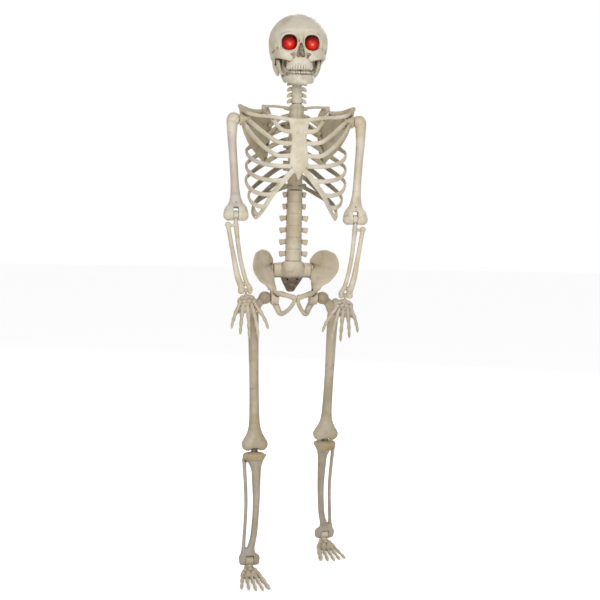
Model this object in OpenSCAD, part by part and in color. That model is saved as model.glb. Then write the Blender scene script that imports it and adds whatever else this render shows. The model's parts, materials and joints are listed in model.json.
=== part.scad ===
// Posable skeleton figure, five feet tall: moulded bones on pinned joints, with lit eyes.
// Millimetres. The figure faces -Y, its left side is +X, and it hangs by the hole on its crown.

/* [Lengths] */
// Crown of the skull above the head swivel
skull_h = 174; // [160:1:190]
// Neck, head swivel down to the collar
neck_len = 74; // [62:1:90]
// Radius of the rings of the neck
neck_r = 15.5; // [14.5:0.5:17]
// Half span of the side wings of the neck
neck_wing = 26; // [22:1:30]
// Rib cage, collar down to the waist swivel
torso_len = 229; // [215:1:245]
// Waist swivel down to the hip axis
loin_len = 298; // [285:1:315]
// Hip axis to knee axis
thigh_len = 404; // [370:1:440]
// Knee axis to ankle axis
shin_len = 310; // [280:1:340]
// Ankle axis above the sole
ankle_h = 46; // [43:1:50]
// Shoulder axis to elbow axis
upper_arm_len = 268; // [245:1:290]
// Elbow axis to wrist axis
forearm_len = 210; // [190:1:230]
// Wrist axis to the tip of the longest finger
hand_len = 128; // [110:1:145]
// Ankle axis forward to the tip of the longest toe
foot_len = 130; // [115:1:145]

/* [Skull] */
// Width of the skull
skull_w = 163; // [150:1:176]
// Length of the skull, brow to back
skull_l = 168; // [158:1:178]
// Wall of the skull shells
skull_wall = 4; // [3:0.5:5]
// Distance between the eye centres
eye_gap = 61; // [57:1:65]
// Eye centres above the head swivel
eye_z = 90; // [86:1:94]
// Radius of an eye socket
eye_r = 20.5; // [18:0.5:22]
// Face seam in front of the neck axis
face_seam = 18; // [15:1:22]
// Jaw hinge above the head swivel
jaw_z = 56; // [53:1:59]
// Half distance between the jaw hinges
jaw_x = 56; // [54:1:58]
// Thickness of a jaw hinge ear
jaw_ear = 11; // [8:0.5:12]
// Half width of the row of teeth
tooth_row = 31; // [28:1:34]
// Teeth in each row
teeth = 10; // [8:2:14]
// Hang hole behind the neck axis
hang_back = 25; // [20:1:30]
// Hang hole below the crown
hang_drop = 2; // [1:0.5:3]
// Radius of the hang hole
hang_r = 3; // [2.5:0.5:4]
// Thickness of the hang tab
hang_t = 5; // [4:0.5:7]

/* [Eye lights and battery] */
// Radius of a lamp
lamp_r = 2.5; // [2:0.5:3]
// Radius of a lamp holder
holder_r = 6; // [5:0.5:7]
// Radius of a cell
cell_r = 7.25; // [7:0.25:7.5]
// Length of a cell
cell_len = 50.5; // [48:0.5:52]
// Middle of the battery bay above the head swivel
bay_z = 100; // [96:1:106]
// Travel of the switch
switch_travel = 4; // [3:0.5:5]

/* [Rib cage] */
// Width of the rib cage
cage_w = 280; // [260:2:300]
// Breastbone in front of the neck axis
chest_front = 107; // [98:1:114]
// Back ribs behind the neck axis
chest_back = 54; // [48:1:60]
// Seam between the front and back mouldings, in front of the neck axis
cage_seam = 34; // [32:1:38]
// Half thickness of a rib
rib_t = 3.4; // [2.8:0.1:4]
// Half height of a rib
rib_h = 5.6; // [4.5:0.1:6.5]
// Radius of the thoracic column
column_r = 21; // [19:0.5:23]
// Half distance between the shoulder seams
shoulder_x = 157; // [150:1:165]
// Shoulder axis above the waist swivel
shoulder_z = 189; // [184:1:193]
// Shoulder axis in front of the neck axis
shoulder_y = 12; // [10:1:14]
// Radius of a shoulder boss
shoulder_r = 18; // [16:0.5:19]

/* [Pelvis] */
// Radius of the lumbar column
lumbar_r = 22; // [20:0.5:24]
// Half distance between the hip balls
hip_x = 81; // [77:1:86]
// Hip axis in front of the neck axis
hip_y = 18; // [15:1:22]
// Radius of a hip ball
ball_r = 18; // [16:0.5:19]
// Half width of the hip bones at the crest
crest_x = 121; // [115:1:126]
// Half thickness of a hip blade
blade_t = 5; // [4:0.5:6]

/* [Arms] */
// Shaft of the upper arm outside the shoulder seam
arm_out = 21; // [19:1:24]
// Elbow inside the top of the upper arm
elbow_in = 13; // [8:1:18]
// Half width across the elbow
elbow_w = 36; // [32:1:40]
// Radius of the elbow knuckle
elbow_r = 17; // [15:0.5:18]
// Width of the elbow slot
elbow_slot = 13.5; // [12:0.5:15]
// Half thickness of the upper arm shaft
upper_arm_r = 12; // [10.5:0.5:13.5]
// Half thickness of the forearm bones
forearm_r = 6.2; // [5.4:0.2:7]
// Wrist inside the elbow
wrist_in = 27; // [22:1:32]
// Half width across the palm
palm_w = 24; // [20:1:27]
// Width of the wrist slot
wrist_slot = 7; // [6:0.5:8]
// Half width across the wrist
wrist_w = 18; // [16:0.5:20]
// Radius of the wrist knuckle
wrist_r = 8.5; // [7.5:0.5:9.5]

/* [Legs] */
// Shaft of the thigh outside the hip ball
thigh_out = 33; // [30:1:37]
// Half thickness of the thigh shaft
thigh_r = 13.5; // [12:0.5:15]
// Half width across the knee
knee_w = 36; // [33:1:39]
// Radius of the knee knuckle
knee_r = 17; // [15.5:0.5:18]
// Width of the knee slot
knee_slot = 19; // [17:0.5:21]
// Half thickness of the shin bone
shin_r = 9.5; // [8.5:0.5:10.5]
// Ankle outside the knee
ankle_out = 17; // [14:1:20]
// Half width across the ankle
ankle_w = 28; // [26:0.5:30]
// Radius of the ankle knuckle
ankle_r = 13; // [12:0.5:14]
// Width of the ankle slot
ankle_slot = 22; // [20:0.5:24]
// Half width across the toes
toe_spread = 38; // [34:1:42]
// Heel behind the ankle axis
heel = 36; // [32:1:40]

/* [Pins and fits] */
// Radius of the neck post
neck_post_r = 8; // [7:0.5:9]
// Radius of the waist post
waist_post_r = 10; // [8.5:0.5:11]
// Radius of the shoulder and hip pins
bolt_r = 4; // [3:0.5:5]
// Depth of the shoulder pins in the rib cage
shoulder_seat = 22; // [18:1:26]
// Depth of the hip pins in the hip bones
hip_seat = 16; // [13:1:18]
// Radius of the knee pins
knee_pin_r = 4; // [3:0.5:5]
// Radius of the elbow and ankle pins
limb_pin_r = 3; // [2.5:0.5:3.5]
// Radius of the wrist and jaw pins
small_pin_r = 2; // [1.5:0.25:2.5]
// Radial clearance of a pin in its bore
pin_fit = 0.06; // [0.03:0.01:0.1]
// Gap on each side of a tongue in its fork, and at each swivel seam
side_gap = 0.5; // [0.4:0.1:0.8]
// Room past the end of a blind pin
end_room = 1.5; // [1:0.5:3]
// Radius of the door screw
screw_r = 1.5; // [1.25:0.25:2]
// Gap round pieces that drop into the skull
drop_fit = 0.3; // [0.2:0.05:0.4]

/* [Pose] */
// Waist turned with the right hip forward, degrees
waist_turn = 6; // [3:1:9]
// Right upper arm swung forward, degrees
right_arm_swing = 14; // [10:1:18]
// Left upper arm swung forward, degrees
left_arm_swing = 5; // [4:1:8]
// Elbows bent forward, degrees
elbow_bend = 5; // [2:1:8]
// Right leg forward and left leg back, degrees
stride = 10; // [7:1:12]

/* [Hidden] */
$fn = 40;
RIGHT = -1;
LEFT = 1;
far = 2000;
cut = 300;
bone = [0.80, 0.75, 0.66];
aged = [0.62, 0.53, 0.42];
steel = [0.70, 0.70, 0.72];
black = [0.12, 0.12, 0.12];

// Height of the head swivel and of the waist swivel below the hang hole
head_z = hang_drop - skull_h;
waist_z = head_z - neck_len - torso_len;

// Unit vector along v
function unit(v) = v / norm(v);

// Middle of a station
function mid(s) = [s[0], s[1], s[2]];

// Way along the path at station i
function heading(s, i) = unit(mid(s[min(i + 1, len(s) - 1)]) - mid(s[max(i - 1, 0)]));

// Oval ring square to t at station s: s[3] is its half width, s[4] its half depth along up
function ring(s, t, up, sides) =
    let (across = unit(cross(t, up)), along = cross(across, t))
    [for (k = [0 : sides - 1])
        let (a = 360 * (k + 0.5) / sides)
        mid(s) + across * s[3] * cos(a) + along * s[4] * sin(a)];

// Closed skin over rings that have equal numbers of points
module skin(rings) {
    n = len(rings[0]);
    last = len(rings) - 1;
    polyhedron(
        points = [for (r = rings) each r],
        faces = concat(
            [[for (k = [n - 1 : -1 : 0]) k]],
            [for (j = [0 : last - 1]) for (k = [0 : n - 1])
                [j * n + k, j * n + (k + 1) % n, (j + 1) * n + k]],
            [for (j = [0 : last - 1]) for (k = [0 : n - 1])
                [(j + 1) * n + k, j * n + (k + 1) % n, (j + 1) * n + (k + 1) % n]],
            [[for (k = [0 : n - 1]) last * n + k]]
        )
    );
}

// Bone along stations [x, y, z, half width, half depth]
module limb(stations, up = [0, 1, 0], sides = 8) {
    skin([for (i = [0 : len(stations) - 1]) ring(stations[i], heading(stations, i), up, sides)]);
}

// Level ovals stacked up at stations [x, y, z, half width, half depth]
module stack(stations, sides) {
    skin([for (s = stations) ring(s, [0, 0, 1], [0, 1, 0], sides)]);
}

// One moulding: everything inside is one skin, with its round parts in flats
module moulding() {
    $fn = 16;
    resize([0, 0, 0]) children();
}

// Cylinder along X, from x0 to x1
module bar_x(r, x0, x1) {
    translate([x0, 0, 0]) rotate([0, 90, 0]) cylinder(r = r, h = x1 - x0);
}

// Block between two corners
module block(low, high) {
    translate(low) cube(high - low);
}

// Slot for a tongue across X, open downwards from its top
module slot(width, top, front) {
    block([-width / 2, front, -cut], [width / 2, cut, top]);
}

// Both sides of the body, the given side being the left one
module both() {
    children();
    mirror([1, 0, 0]) children();
}

// The left side as drawn, or the right side as its mirror image
module sided(side) {
    if (side == LEFT) children();
    else mirror([1, 0, 0]) children();
}

// Places of the bodies, each with its own origin
module on_skull() translate([0, -hang_back, head_z]) children();
module on_torso() translate([0, -hang_back, waist_z]) children();
module on_pelvis() translate([0, -hang_back, waist_z]) rotate([0, 0, waist_turn]) children();

function arm_swing(side) = side == RIGHT ? right_arm_swing : left_arm_swing;
function leg_swing(side) = side == RIGHT ? stride : -stride;

// An arm's three places: shoulder, elbow and wrist, with +X outwards
module at_shoulder(side) {
    on_torso() sided(side) translate([shoulder_x, -shoulder_y, shoulder_z])
        rotate([-arm_swing(side), 0, 0]) children();
}
elbow_x = arm_out - elbow_in;
module at_elbow(side) {
    at_shoulder(side) translate([elbow_x, 0, -upper_arm_len]) rotate([-elbow_bend, 0, 0]) children();
}
module at_wrist(side) {
    at_elbow(side) translate([-wrist_in, 0, -forearm_len]) rotate([elbow_bend, 0, 0]) children();
}

// A leg's three places: hip, knee and ankle, with +X outwards
module at_hip(side) {
    on_pelvis() sided(side) translate([hip_x, -hip_y, -loin_len]) rotate([-leg_swing(side), 0, 0]) children();
}
module at_knee(side) {
    at_hip(side) translate([thigh_out, 0, -thigh_len]) children();
}
module at_ankle(side) {
    at_knee(side) translate([ankle_out, 0, -shin_len]) rotate([leg_swing(side), 0, 0]) children();
}

// Skull: rows of the braincase as [height, half width, front, back], shares of the skull's own sizes
crown_rows = [
    [0.21, 0.80, -0.19, 0.33], [0.33, 0.92, -0.35, 0.40], [0.45, 0.98, -0.50, 0.44],
    [0.57, 1.00, -0.55, 0.45], [0.74, 0.93, -0.50, 0.43], [0.85, 0.76, -0.40, 0.34],
    [0.92, 0.56, -0.29, 0.24], [0.97, 0.33, -0.17, 0.12], [1.00, 0.03, -0.04, -0.02]
];
function braincase(rows, wall) = [for (r = rows) [
    0, (r[2] + r[3]) / 2 * skull_l, r[0] * (skull_h - wall),
    max(r[1] * skull_w / 2 - wall, 1), max((r[3] - r[2]) / 2 * skull_l - wall, 1)
]];
brow_y = 0.55 * skull_l;
socket_y = brow_y - 28;
eye_x = eye_gap / 2;
jaw_y = 8;

// Hollow of the braincase, which leaves the face and the base solid
cavity_front = 44;
module cavity() {
    intersection() {
        stack(braincase(crown_rows, skull_wall), 16);
        union() {
            block([-cut, -cavity_front, 0.41 * skull_h], [cut, cut, cut]);
            block([-cut, -cut, 0.70 * skull_h], [cut, cut, cut]);
        }
    }
}

// Cheek bone and arch, from the side of the upper jaw back to the temple
module cheek() {
    limb([
        [26, -brow_y + 10, 52, 4, 5], [44, -brow_y + 12, 60, 9, 12], [57, -brow_y + 26, 63, 7, 12],
        [66, -brow_y + 46, 60, 4, 6], [70, -30, 57, 4, 5.5], [69, -4, 58, 4, 6], [62, 14, 60, 4, 6]
    ], up = [0, 0, 1], sides = 6);
}

// A tooth row is an arc of square pegs on one ellipse, each with a flat to the front
tooth_arc = 144;
tooth_w = 1.98 * tooth_row / teeth;
module tooth_row_pegs(z, h) {
    for (k = [0 : teeth - 1]) {
        a = tooth_arc * ((k + 0.5) / teeth - 0.5);
        translate([tooth_row * sin(a), -brow_y + 39 - 37 * cos(a), z]) rotate([0, 0, a])
            block([-tooth_w / 2, -0.4 * tooth_w, 0], [tooth_w / 2, 0.4 * tooth_w, h]);
    }
}

// Outside of the whole skull: braincase, base, face, cheeks, brow and upper teeth
module skull_outside() {
    stack(braincase(crown_rows, 0), 16);
    limb([
        [0, 6, side_gap, 26, 26], [0, 6, 10, 32, 30], [0, 8, 30, 42, 40], [0, 8, 52, 52, 46]
    ], sides = 10);
    limb([
        [0, -brow_y + 34, 26, 31, 33], [0, -brow_y + 35, 34, 32, 34], [0, -brow_y + 38, 46, 36, 38],
        [0, -brow_y + 40, 60, 46, 38], [0, -brow_y + 42, 84, 58, 40], [0, -brow_y + 46, 104, 63, 44],
        [0, -brow_y + 50, 118, 60, 42]
    ], sides = 10);
    limb([
        [0, -brow_y + 6, 50, 13, 5], [0, -brow_y + 4, 66, 12, 5], [0, -brow_y + 2, 90, 9, 6],
        [0, -brow_y + 6, 112, 16, 7]
    ], sides = 6);
    both() cheek();
    both() limb([
        [58, 24, 54, 10, 14], [58, 25, 38, 10, 13], [56, 25, 22, 8, 10], [54, 24, 10, 3, 4]
    ], sides = 6);
    tooth_row_pegs(19, 14);
}

// Left half of the nose opening, from the bottom of the middle out, up and in
function mirrored(p) = [-p[0], p[1]];
nose_half = [[0, 54], [2, 52], [9, 50.5], [12, 52], [6, 72], [3, 82]];

// Eye sockets, nose opening, mouth roof and jaw hinge pockets
module skull_openings() {
    both() translate([eye_x, 0, eye_z]) rotate([90, 0, 0]) translate([0, 0, socket_y])
        cylinder(r1 = eye_r, r2 = eye_r + 3, h = cut, $fn = 20);
    translate([0, -brow_y + 16, 0]) rotate([90, 0, 0]) linear_extrude(cut)
        polygon(concat(nose_half, [for (k = [len(nose_half) - 1 : -1 : 1]) mirrored(nose_half[k])]));
    translate([0, -brow_y + 46, side_gap]) scale([tooth_row - 9, 36, 1]) cylinder(r = 1, h = 32, $fn = 14);
    both() block(
        [jaw_x - jaw_ear / 2 - side_gap, -jaw_y - 20, -cut],
        [jaw_x + jaw_ear / 2 + side_gap, -jaw_y + 22, jaw_z + 13]
    );
    both() block(
        [jaw_x - jaw_ear / 2 - 6, -jaw_y - 32, -cut],
        [jaw_x + jaw_ear / 2 + side_gap, -jaw_y + 22, jaw_z - 5]
    );
}

module skull_solid() {
    difference() {
        skull_outside();
        skull_openings();
    }
}

// Battery bay moulded into the back shell, and the door's opening over it
bay_w = cell_len + 6;
bay_h = 4 * cell_r + 3;
bay_floor = 0.45 * skull_l - skull_wall - 2 * cell_r - 10;
door_w = bay_w + 14;
door_h = bay_h + 5;
ledge = 6;
screw_x = door_w / 2 - screw_r - 2.5;
switch_z = bay_z + door_h / 2 + 13;
knob_w = 4;
knob_h = 3;
housing = [18, 10, 10];

module bay_column(w, h, y0) {
    block([-w / 2, y0, bay_z - h / 2], [w / 2, cut, bay_z + h / 2]);
}

module skull_face() {
    color(bone) on_skull() difference() {
        moulding() intersection() {
            difference() {
                skull_solid();
                cavity();
            }
            block([-cut, -cut, -cut], [cut, -face_seam, cut]);
        }
        both() translate([eye_x, 0, eye_z]) rotate([90, 0, 0])
            cylinder(r = holder_r + pin_fit, h = socket_y + 1);
    }
}

module skull_back() {
    color(bone) on_skull() difference() {
        moulding() difference() {
            skull_solid();
            block([-cut, -cut, -cut], [cut, -face_seam, cut]);
            difference() {
                cavity();
                block(
                    [-door_w / 2 - ledge, bay_floor - 3, bay_z - door_h / 2 - ledge],
                    [door_w / 2 + ledge, cut, switch_z + 8]
                );
            }
            difference() {
                bay_column(door_w + 2 * drop_fit, door_h + 2 * drop_fit, 0);
                cavity();
            }
            bay_column(bay_w, bay_h, bay_floor);
            block(
                [-knob_w / 2 - drop_fit - switch_travel, 0, switch_z - knob_h / 2 - drop_fit],
                [knob_w / 2 + drop_fit, cut, switch_z + knob_h / 2 + drop_fit]
            );
            translate([0, hang_back, skull_h - cut]) block(
                [-hang_t / 2 - drop_fit, -tab_r - drop_fit, cut - 20],
                [hang_t / 2 + drop_fit, tab_r + drop_fit, 2 * cut]
            );
            translate([0, 0, 12]) cylinder(r = neck_post_r + 8, h = 90, $fn = 16);
        }
        translate([0, 0, -1]) cylinder(r = neck_post_r + pin_fit, h = 20);
        both() translate([0, -jaw_y, jaw_z])
            bar_x(small_pin_r + pin_fit, jaw_x - jaw_ear, jaw_x + jaw_ear + 1);
        translate([screw_x, bay_floor, bay_z]) rotate([-90, 0, 0]) cylinder(r = screw_r + pin_fit, h = cut);
    }
}

// Hang tab: an upright plate with round shoulders, let into the crown
tab_r = hang_r + 3;
tab_foot = skull_wall + 7 - hang_drop;
module hang_tab() {
    color(bone) translate([-hang_t / 2, 0, 0]) rotate([90, 0, 90]) linear_extrude(hang_t) difference() {
        union() {
            circle(r = tab_r);
            translate([-tab_r, -tab_foot]) square([2 * tab_r, tab_foot]);
        }
        circle(r = hang_r);
    }
}

module at_eyes() {
    both() translate([eye_x, 0, eye_z]) rotate([90, 0, 0]) translate([0, 0, socket_y]) children();
}

// Red eye lens: a dome with a short rim that stands in the socket
lens_r = eye_r - drop_fit;
lens_rim = 5;
lens_h = 19;
module eye_lenses() {
    color("red") on_skull() at_eyes() difference() {
        union() {
            translate([0, 0, drop_fit]) cylinder(r = lens_r, h = lens_rim);
            intersection() {
                translate([0, 0, lens_rim + lens_h - lens_r * 1.3]) sphere(r = lens_r * 1.3);
                translate([0, 0, lens_rim]) cylinder(r = lens_r - 0.5, h = lens_r);
            }
        }
        cylinder(r = lamp_r + 1, h = lens_rim + 3);
    }
}

module eye_lamps() {
    color([0.9, 0.3, 0.3]) on_skull() at_eyes() {
        translate([0, 0, -8]) cylinder(r = lamp_r, h = 8 + lens_rim);
        translate([0, 0, lens_rim]) intersection() {
            sphere(r = lamp_r);
            cylinder(r = lamp_r + 1, h = lamp_r + 1);
        }
    }
}

module lamp_holders() {
    color(black) on_skull() at_eyes() difference() {
        translate([0, 0, -14]) cylinder(r = holder_r, h = 14);
        translate([0, 0, -15]) cylinder(r = lamp_r + pin_fit, h = 20);
    }
}

// Two cells side by side, each with its button end
module cells() {
    color([0.25, 0.3, 0.25]) on_skull() for (k = [-1, 1]) {
        translate([-cell_len / 2, bay_floor + cell_r + drop_fit, bay_z + k * (cell_r + 0.5)]) {
            bar_x(cell_r, 0, cell_len - 1.5);
            bar_x(cell_r * 0.38, cell_len - 1.5, cell_len);
        }
    }
}

// Contact plates at the two ends of the bay
module cell_contacts() {
    color(steel) on_skull() both() {
        block(
            [cell_len / 2 + 0.2, bay_floor + 0.5, bay_z - bay_h / 2 + 0.5],
            [bay_w / 2 - 0.1, bay_floor + 2 * cell_r, bay_z + bay_h / 2 - 0.5]
        );
    }
}

// Door: the piece of the back shell over the bay
module battery_door() {
    color(bone) on_skull() difference() {
        moulding() intersection() {
            difference() {
                stack(braincase(crown_rows, 0), 16);
                cavity();
            }
            bay_column(door_w, door_h, 0);
        }
        translate([screw_x, 0, bay_z]) rotate([-90, 0, 0]) cylinder(r = screw_r + pin_fit, h = cut);
    }
}

module door_screw() {
    color(steel) on_skull() translate([screw_x, bay_floor + 1, bay_z]) rotate([-90, 0, 0])
        cylinder(r = screw_r, h = 2 * cell_r + 2);
}

module switch_housing() {
    color(black) on_skull() translate([-switch_travel / 2, bay_floor - 3 - housing[1] / 2, switch_z])
        cube(housing, center = true);
}

module switch_slider() {
    color(black) on_skull() block(
        [-knob_w / 2, bay_floor - 3 + drop_fit, switch_z - knob_h / 2],
        [knob_w / 2, 0.43 * skull_l + 1, switch_z + knob_h / 2]
    );
}

module jaw_pins() {
    color(steel) on_skull() both() translate([0, -jaw_y, jaw_z])
        bar_x(small_pin_r, jaw_x - jaw_ear + 1, jaw_x + jaw_ear);
}

// Jaw: a branch up each side to its hinge ear, one bowed body, and the lower teeth
module mandible() {
    ear_r = 8;
    color(bone) on_skull() difference() {
        moulding() {
            both() {
                limb([
                    [jaw_x, -jaw_y, jaw_z + ear_r, 2, 2], [jaw_x, -jaw_y, jaw_z + 5, jaw_ear / 2, 6],
                    [jaw_x, -jaw_y, jaw_z - 8, jaw_ear / 2, 9], [jaw_x - 3, -17, 30, 4.5, 14],
                    [jaw_x - 14, -26, 8, 5, 14], [jaw_x - 19, -31, -5, 5, 10], [jaw_x - 21, -34, -10, 2, 4]
                ], sides = 6);
            }
            limb(concat(
                [[-jaw_x + 15, -25, 4, 5, 11]],
                [for (a = [-70 : 28 : 70]) [
                    (tooth_row + 4) * sin(a), -brow_y + 44 - 44 * cos(a),
                    -2 - 6 * cos(a), 6, 10 + 4 * cos(a)
                ]],
                [[jaw_x - 15, -25, 4, 5, 11]]
            ), up = [0, 0, 1], sides = 6);
            limb([
                [0, -brow_y - 1, 2, 12, 5], [0, -brow_y - 3, -10, 17, 7], [0, -brow_y, -20, 13, 6]
            ], sides = 6);
            tooth_row_pegs(2, 11);
        }
        both() translate([0, -jaw_y, jaw_z]) bar_x(small_pin_r + pin_fit, jaw_x - jaw_ear, jaw_x + jaw_ear);
    }
}

// Neck: a turned column with a ring at each vertebra, a pair of short wings on each, and the swivel post
neck_bones = 4;
neck_pitch = neck_len / (neck_bones + 0.6);
post_len = 24;
wing_outline = [
    [-1, -3], [-0.92, 2.5], [-0.46, 3.5], [0.46, 3.5], [0.92, 2.5], [1, -3], [0.46, -3.5], [-0.46, -3.5]
];
module neck() {
    color(bone) on_torso() translate([0, 0, torso_len]) {
        rotate_extrude() polygon(concat(
            [[0, 0], [neck_r + 3.5, 0], [neck_r + 3.5, 3]],
            [for (k = [0 : neck_bones - 1]) each [
                [neck_r - 2, neck_pitch * (k + 0.45)],
                [neck_r, neck_pitch * (k + 0.8)],
                [neck_r, neck_pitch * (k + 1)]
            ]],
            [[neck_r - 1.5, neck_len], [neck_post_r, neck_len], [neck_post_r, neck_len + post_len],
                [0, neck_len + post_len]]
        ));
        for (k = [0 : neck_bones - 1]) {
            translate([0, 4, neck_pitch * (k + 0.9)]) rotate([90, 0, 0]) linear_extrude(9, center = true)
                polygon([for (w = wing_outline) [w[0] * neck_wing, w[1]]]);
            translate([-3, 8, neck_pitch * (k + 0.75)]) rotate([-20, 0, 0]) cube([6, 18, 6]);
        }
    }
}

// Push-on ring that keeps the skull on the neck post
module neck_ring() {
    color(steel) on_skull() translate([0, 0, 12 + side_gap]) difference() {
        cylinder(r = neck_post_r + 5, h = 4);
        translate([0, 0, -1]) cylinder(r = neck_post_r + pin_fit, h = 6);
    }
}

// Rib cage. The rim below the breastbone runs through rows of [half width, set back, height]
rim_rows = [
    [0.07, 1, 0.26], [0.28, 4, 0.11], [0.49, 14, -0.055],
    [0.62, 26, -0.20], [0.72, 46, -0.30], [0.775, 62, -0.355]
];
// Each full rib is [height at the spine, height at the side, row where its front end lies]
rib_rows = [
    [0.75, 0.44, [0.10, 2, 0.28]], [0.61, 0.27, rim_rows[1]], [0.46, 0.10, rim_rows[2]],
    [0.31, -0.08, rim_rows[3]], [0.17, -0.22, rim_rows[4]]
];
half_w = cage_w / 2;
side_y = -16;
function rim_point(row) = [row[0] * half_w, -chest_front + row[1], row[2] * torso_len];
function waist_share(z) = z > 0 ? 1 : 1 + 0.75 * z / torso_len;

// Path of a rib from the spine, round the side, to the front
function rib_path(r) =
    let (
        zb = r[0] * torso_len,
        zs = r[1] * torso_len,
        w = half_w * waist_share(zs) - rib_t,
        f = rim_point(r[2])
    )
    concat(
        [
            [column_r - 6, 4, zb, rib_t + 0.5, rib_h + 1],
            [0.36 * w, chest_back - 8, zb - 0.16 * (zb - zs), rib_t + 0.5, rib_h + 1],
            [0.70 * w, chest_back - 2, zb - 0.54 * (zb - zs), rib_t, rib_h + 0.8],
            [0.94 * w, 20, zb - 0.84 * (zb - zs), rib_t, rib_h]
        ],
        [for (a = [0 : 30 : 90]) [
            f[0] + (w - f[0]) * cos(a), side_y + (f[1] - side_y) * sin(a),
            zs + (f[2] - zs) * (sin(a) + 0.12 * sin(2 * a)), rib_t, rib_h
        ]]
    );

// Rib: a flat bar of four sides, whose corners stand out past its half thickness and half height
corner = 1.3;
module rib(stations) {
    limb([for (s = stations) concat(mid(s), corner * [s[3], s[4]])], up = [0, 0, 1], sides = 4);
}

// Rim of the arch below the breastbone, from its end out to the tip of the last ribs
module costal_rim() {
    half_h = [7, 8, 8, 7, 6, 2];
    rib([for (k = [0 : 5]) concat(rim_point(rim_rows[k]), [k == 5 ? 1.5 : rib_t, half_h[k]])]);
}

// Lowest rib, from the waist collar round to the tip of the rim
module last_rib() {
    rib([
        [column_r - 6, 4, 0.05 * torso_len, rib_t, rib_h],
        [0.42 * half_w, chest_back - 10, -0.04 * torso_len, rib_t, rib_h],
        [0.74 * half_w, chest_back - 22, -0.16 * torso_len, rib_t, rib_h],
        [0.83 * half_w, 0, -0.26 * torso_len, rib_t, rib_h],
        [0.80 * half_w, -chest_front + 76, -0.33 * torso_len, rib_t, rib_h - 1],
        concat(rim_point(rim_rows[5]), [1.5, 2])
    ]);
}

// Three upper front ribs that sweep up to the shoulder, and the collar bone. Rows are [x, y, z, added height]
function upper_rib(rows) = [for (r = rows) [r[0], r[1], r[2] * torso_len, rib_t, rib_h + r[3]]];
module upper_ribs() {
    sx = shoulder_x;
    boss = shoulder_z / torso_len;
    rib(upper_rib([
        [20, -chest_front + 15, 0.68, 0], [0.29 * sx, -chest_front + 20, 0.70, 0],
        [0.42 * sx, -chest_front + 42, 0.80, 0], [0.485 * sx, -40, 0.86, 0], [0.55 * sx, 0, 0.90, 0],
        [0.575 * sx, chest_back - 30, 0.92, 0]
    ]));
    rib(upper_rib([
        [20, -chest_front + 10, 0.545, 0], [0.37 * sx, -chest_front + 14, 0.56, 0],
        [0.60 * sx, -chest_front + 38, 0.665, 0.5], [0.83 * sx, -shoulder_y - 20, boss - 0.025, 0.5],
        [0.93 * sx, -shoulder_y, boss, 0]
    ]));
    rib(upper_rib([
        [20, -chest_front + 5, 0.40, 0], [0.39 * sx, -chest_front + 8, 0.405, 0],
        [0.63 * sx, -chest_front + 28, 0.52, 0.5], [0.79 * sx, -shoulder_y - 40, 0.64, 1],
        [0.92 * sx, -shoulder_y - 12, boss - 0.055, 1], [0.95 * sx, -shoulder_y, boss - 0.025, 0]
    ]));
    limb([
        [8, -chest_front + 21, 0.81 * torso_len, 5, 7],
        [0.42 * sx, -chest_front + 34, 0.845 * torso_len, 5, 6],
        [0.82 * sx, -shoulder_y - 24, 0.88 * torso_len, 5, 6],
        [0.95 * sx, -shoulder_y - 4, 0.94 * torso_len, 6, 7],
        [sx + 1, -shoulder_y + 4, 0.985 * torso_len, 5, 5]
    ], up = [0, 0, 1], sides = 5);
}

// Shoulder blade, its ridge out to the shoulder top, and the bar to the spine
module shoulder_blade() {
    sx = shoulder_x;
    limb([
        [0.52 * sx, chest_back + 2, 0.31 * torso_len, 5, 2.5],
        [0.55 * sx, chest_back - 2, 0.42 * torso_len, 20, 3.5],
        [0.62 * sx, chest_back - 14, 0.60 * torso_len, 42, 3.5],
        [0.67 * sx, chest_back - 24, 0.78 * torso_len, 54, 4],
        [0.68 * sx, chest_back - 27, 0.88 * torso_len, 50, 4],
        [0.70 * sx, chest_back - 27, 0.91 * torso_len, 40, 3]
    ], up = [0.54, 0.84, 0], sides = 6);
    limb([
        [0.56 * sx, chest_back - 24, 0.93 * torso_len, 5, 6],
        [0.78 * sx, chest_back - 44, 0.93 * torso_len, 5, 6],
        [0.94 * sx, -shoulder_y + 10, 0.965 * torso_len, 7, 6],
        [sx + 1, -shoulder_y, 0.985 * torso_len, 5, 5]
    ], up = [0, 0, 1], sides = 5);
    limb([
        [sx - 3, -shoulder_y + 1, 0.995 * torso_len, 3, 4], [sx - 5, -shoulder_y, 0.96 * torso_len, 7, 8],
        [sx - 9, -shoulder_y, shoulder_z + 8, 7, 10]
    ], sides = 6);
    limb([
        [14, chest_back - 32, torso_len - 6, 4, 4], [0.38 * sx, chest_back - 27, torso_len - 1, 4, 4],
        [0.56 * sx, chest_back - 26, torso_len - 3, 4, 4]
    ], up = [0, 0, 1], sides = 4);
    limb([
        [0.56 * sx, chest_back - 26, torso_len + 1, 7, 4],
        [0.56 * sx, chest_back - 26, 0.88 * torso_len, 7, 4]
    ], sides = 4);
}

// Back of the upper ribs, which end under the shoulder blade
module upper_back_ribs() {
    for (k = [0 : 1]) rib([
        [column_r - 6, 4, (0.89 - 0.09 * k) * torso_len, rib_t, rib_h],
        [40, chest_back - 10, (0.86 - 0.09 * k) * torso_len, rib_t, rib_h],
        [72, chest_back - 12, (0.76 - 0.09 * k) * torso_len, rib_t, rib_h]
    ]);
}

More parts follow.
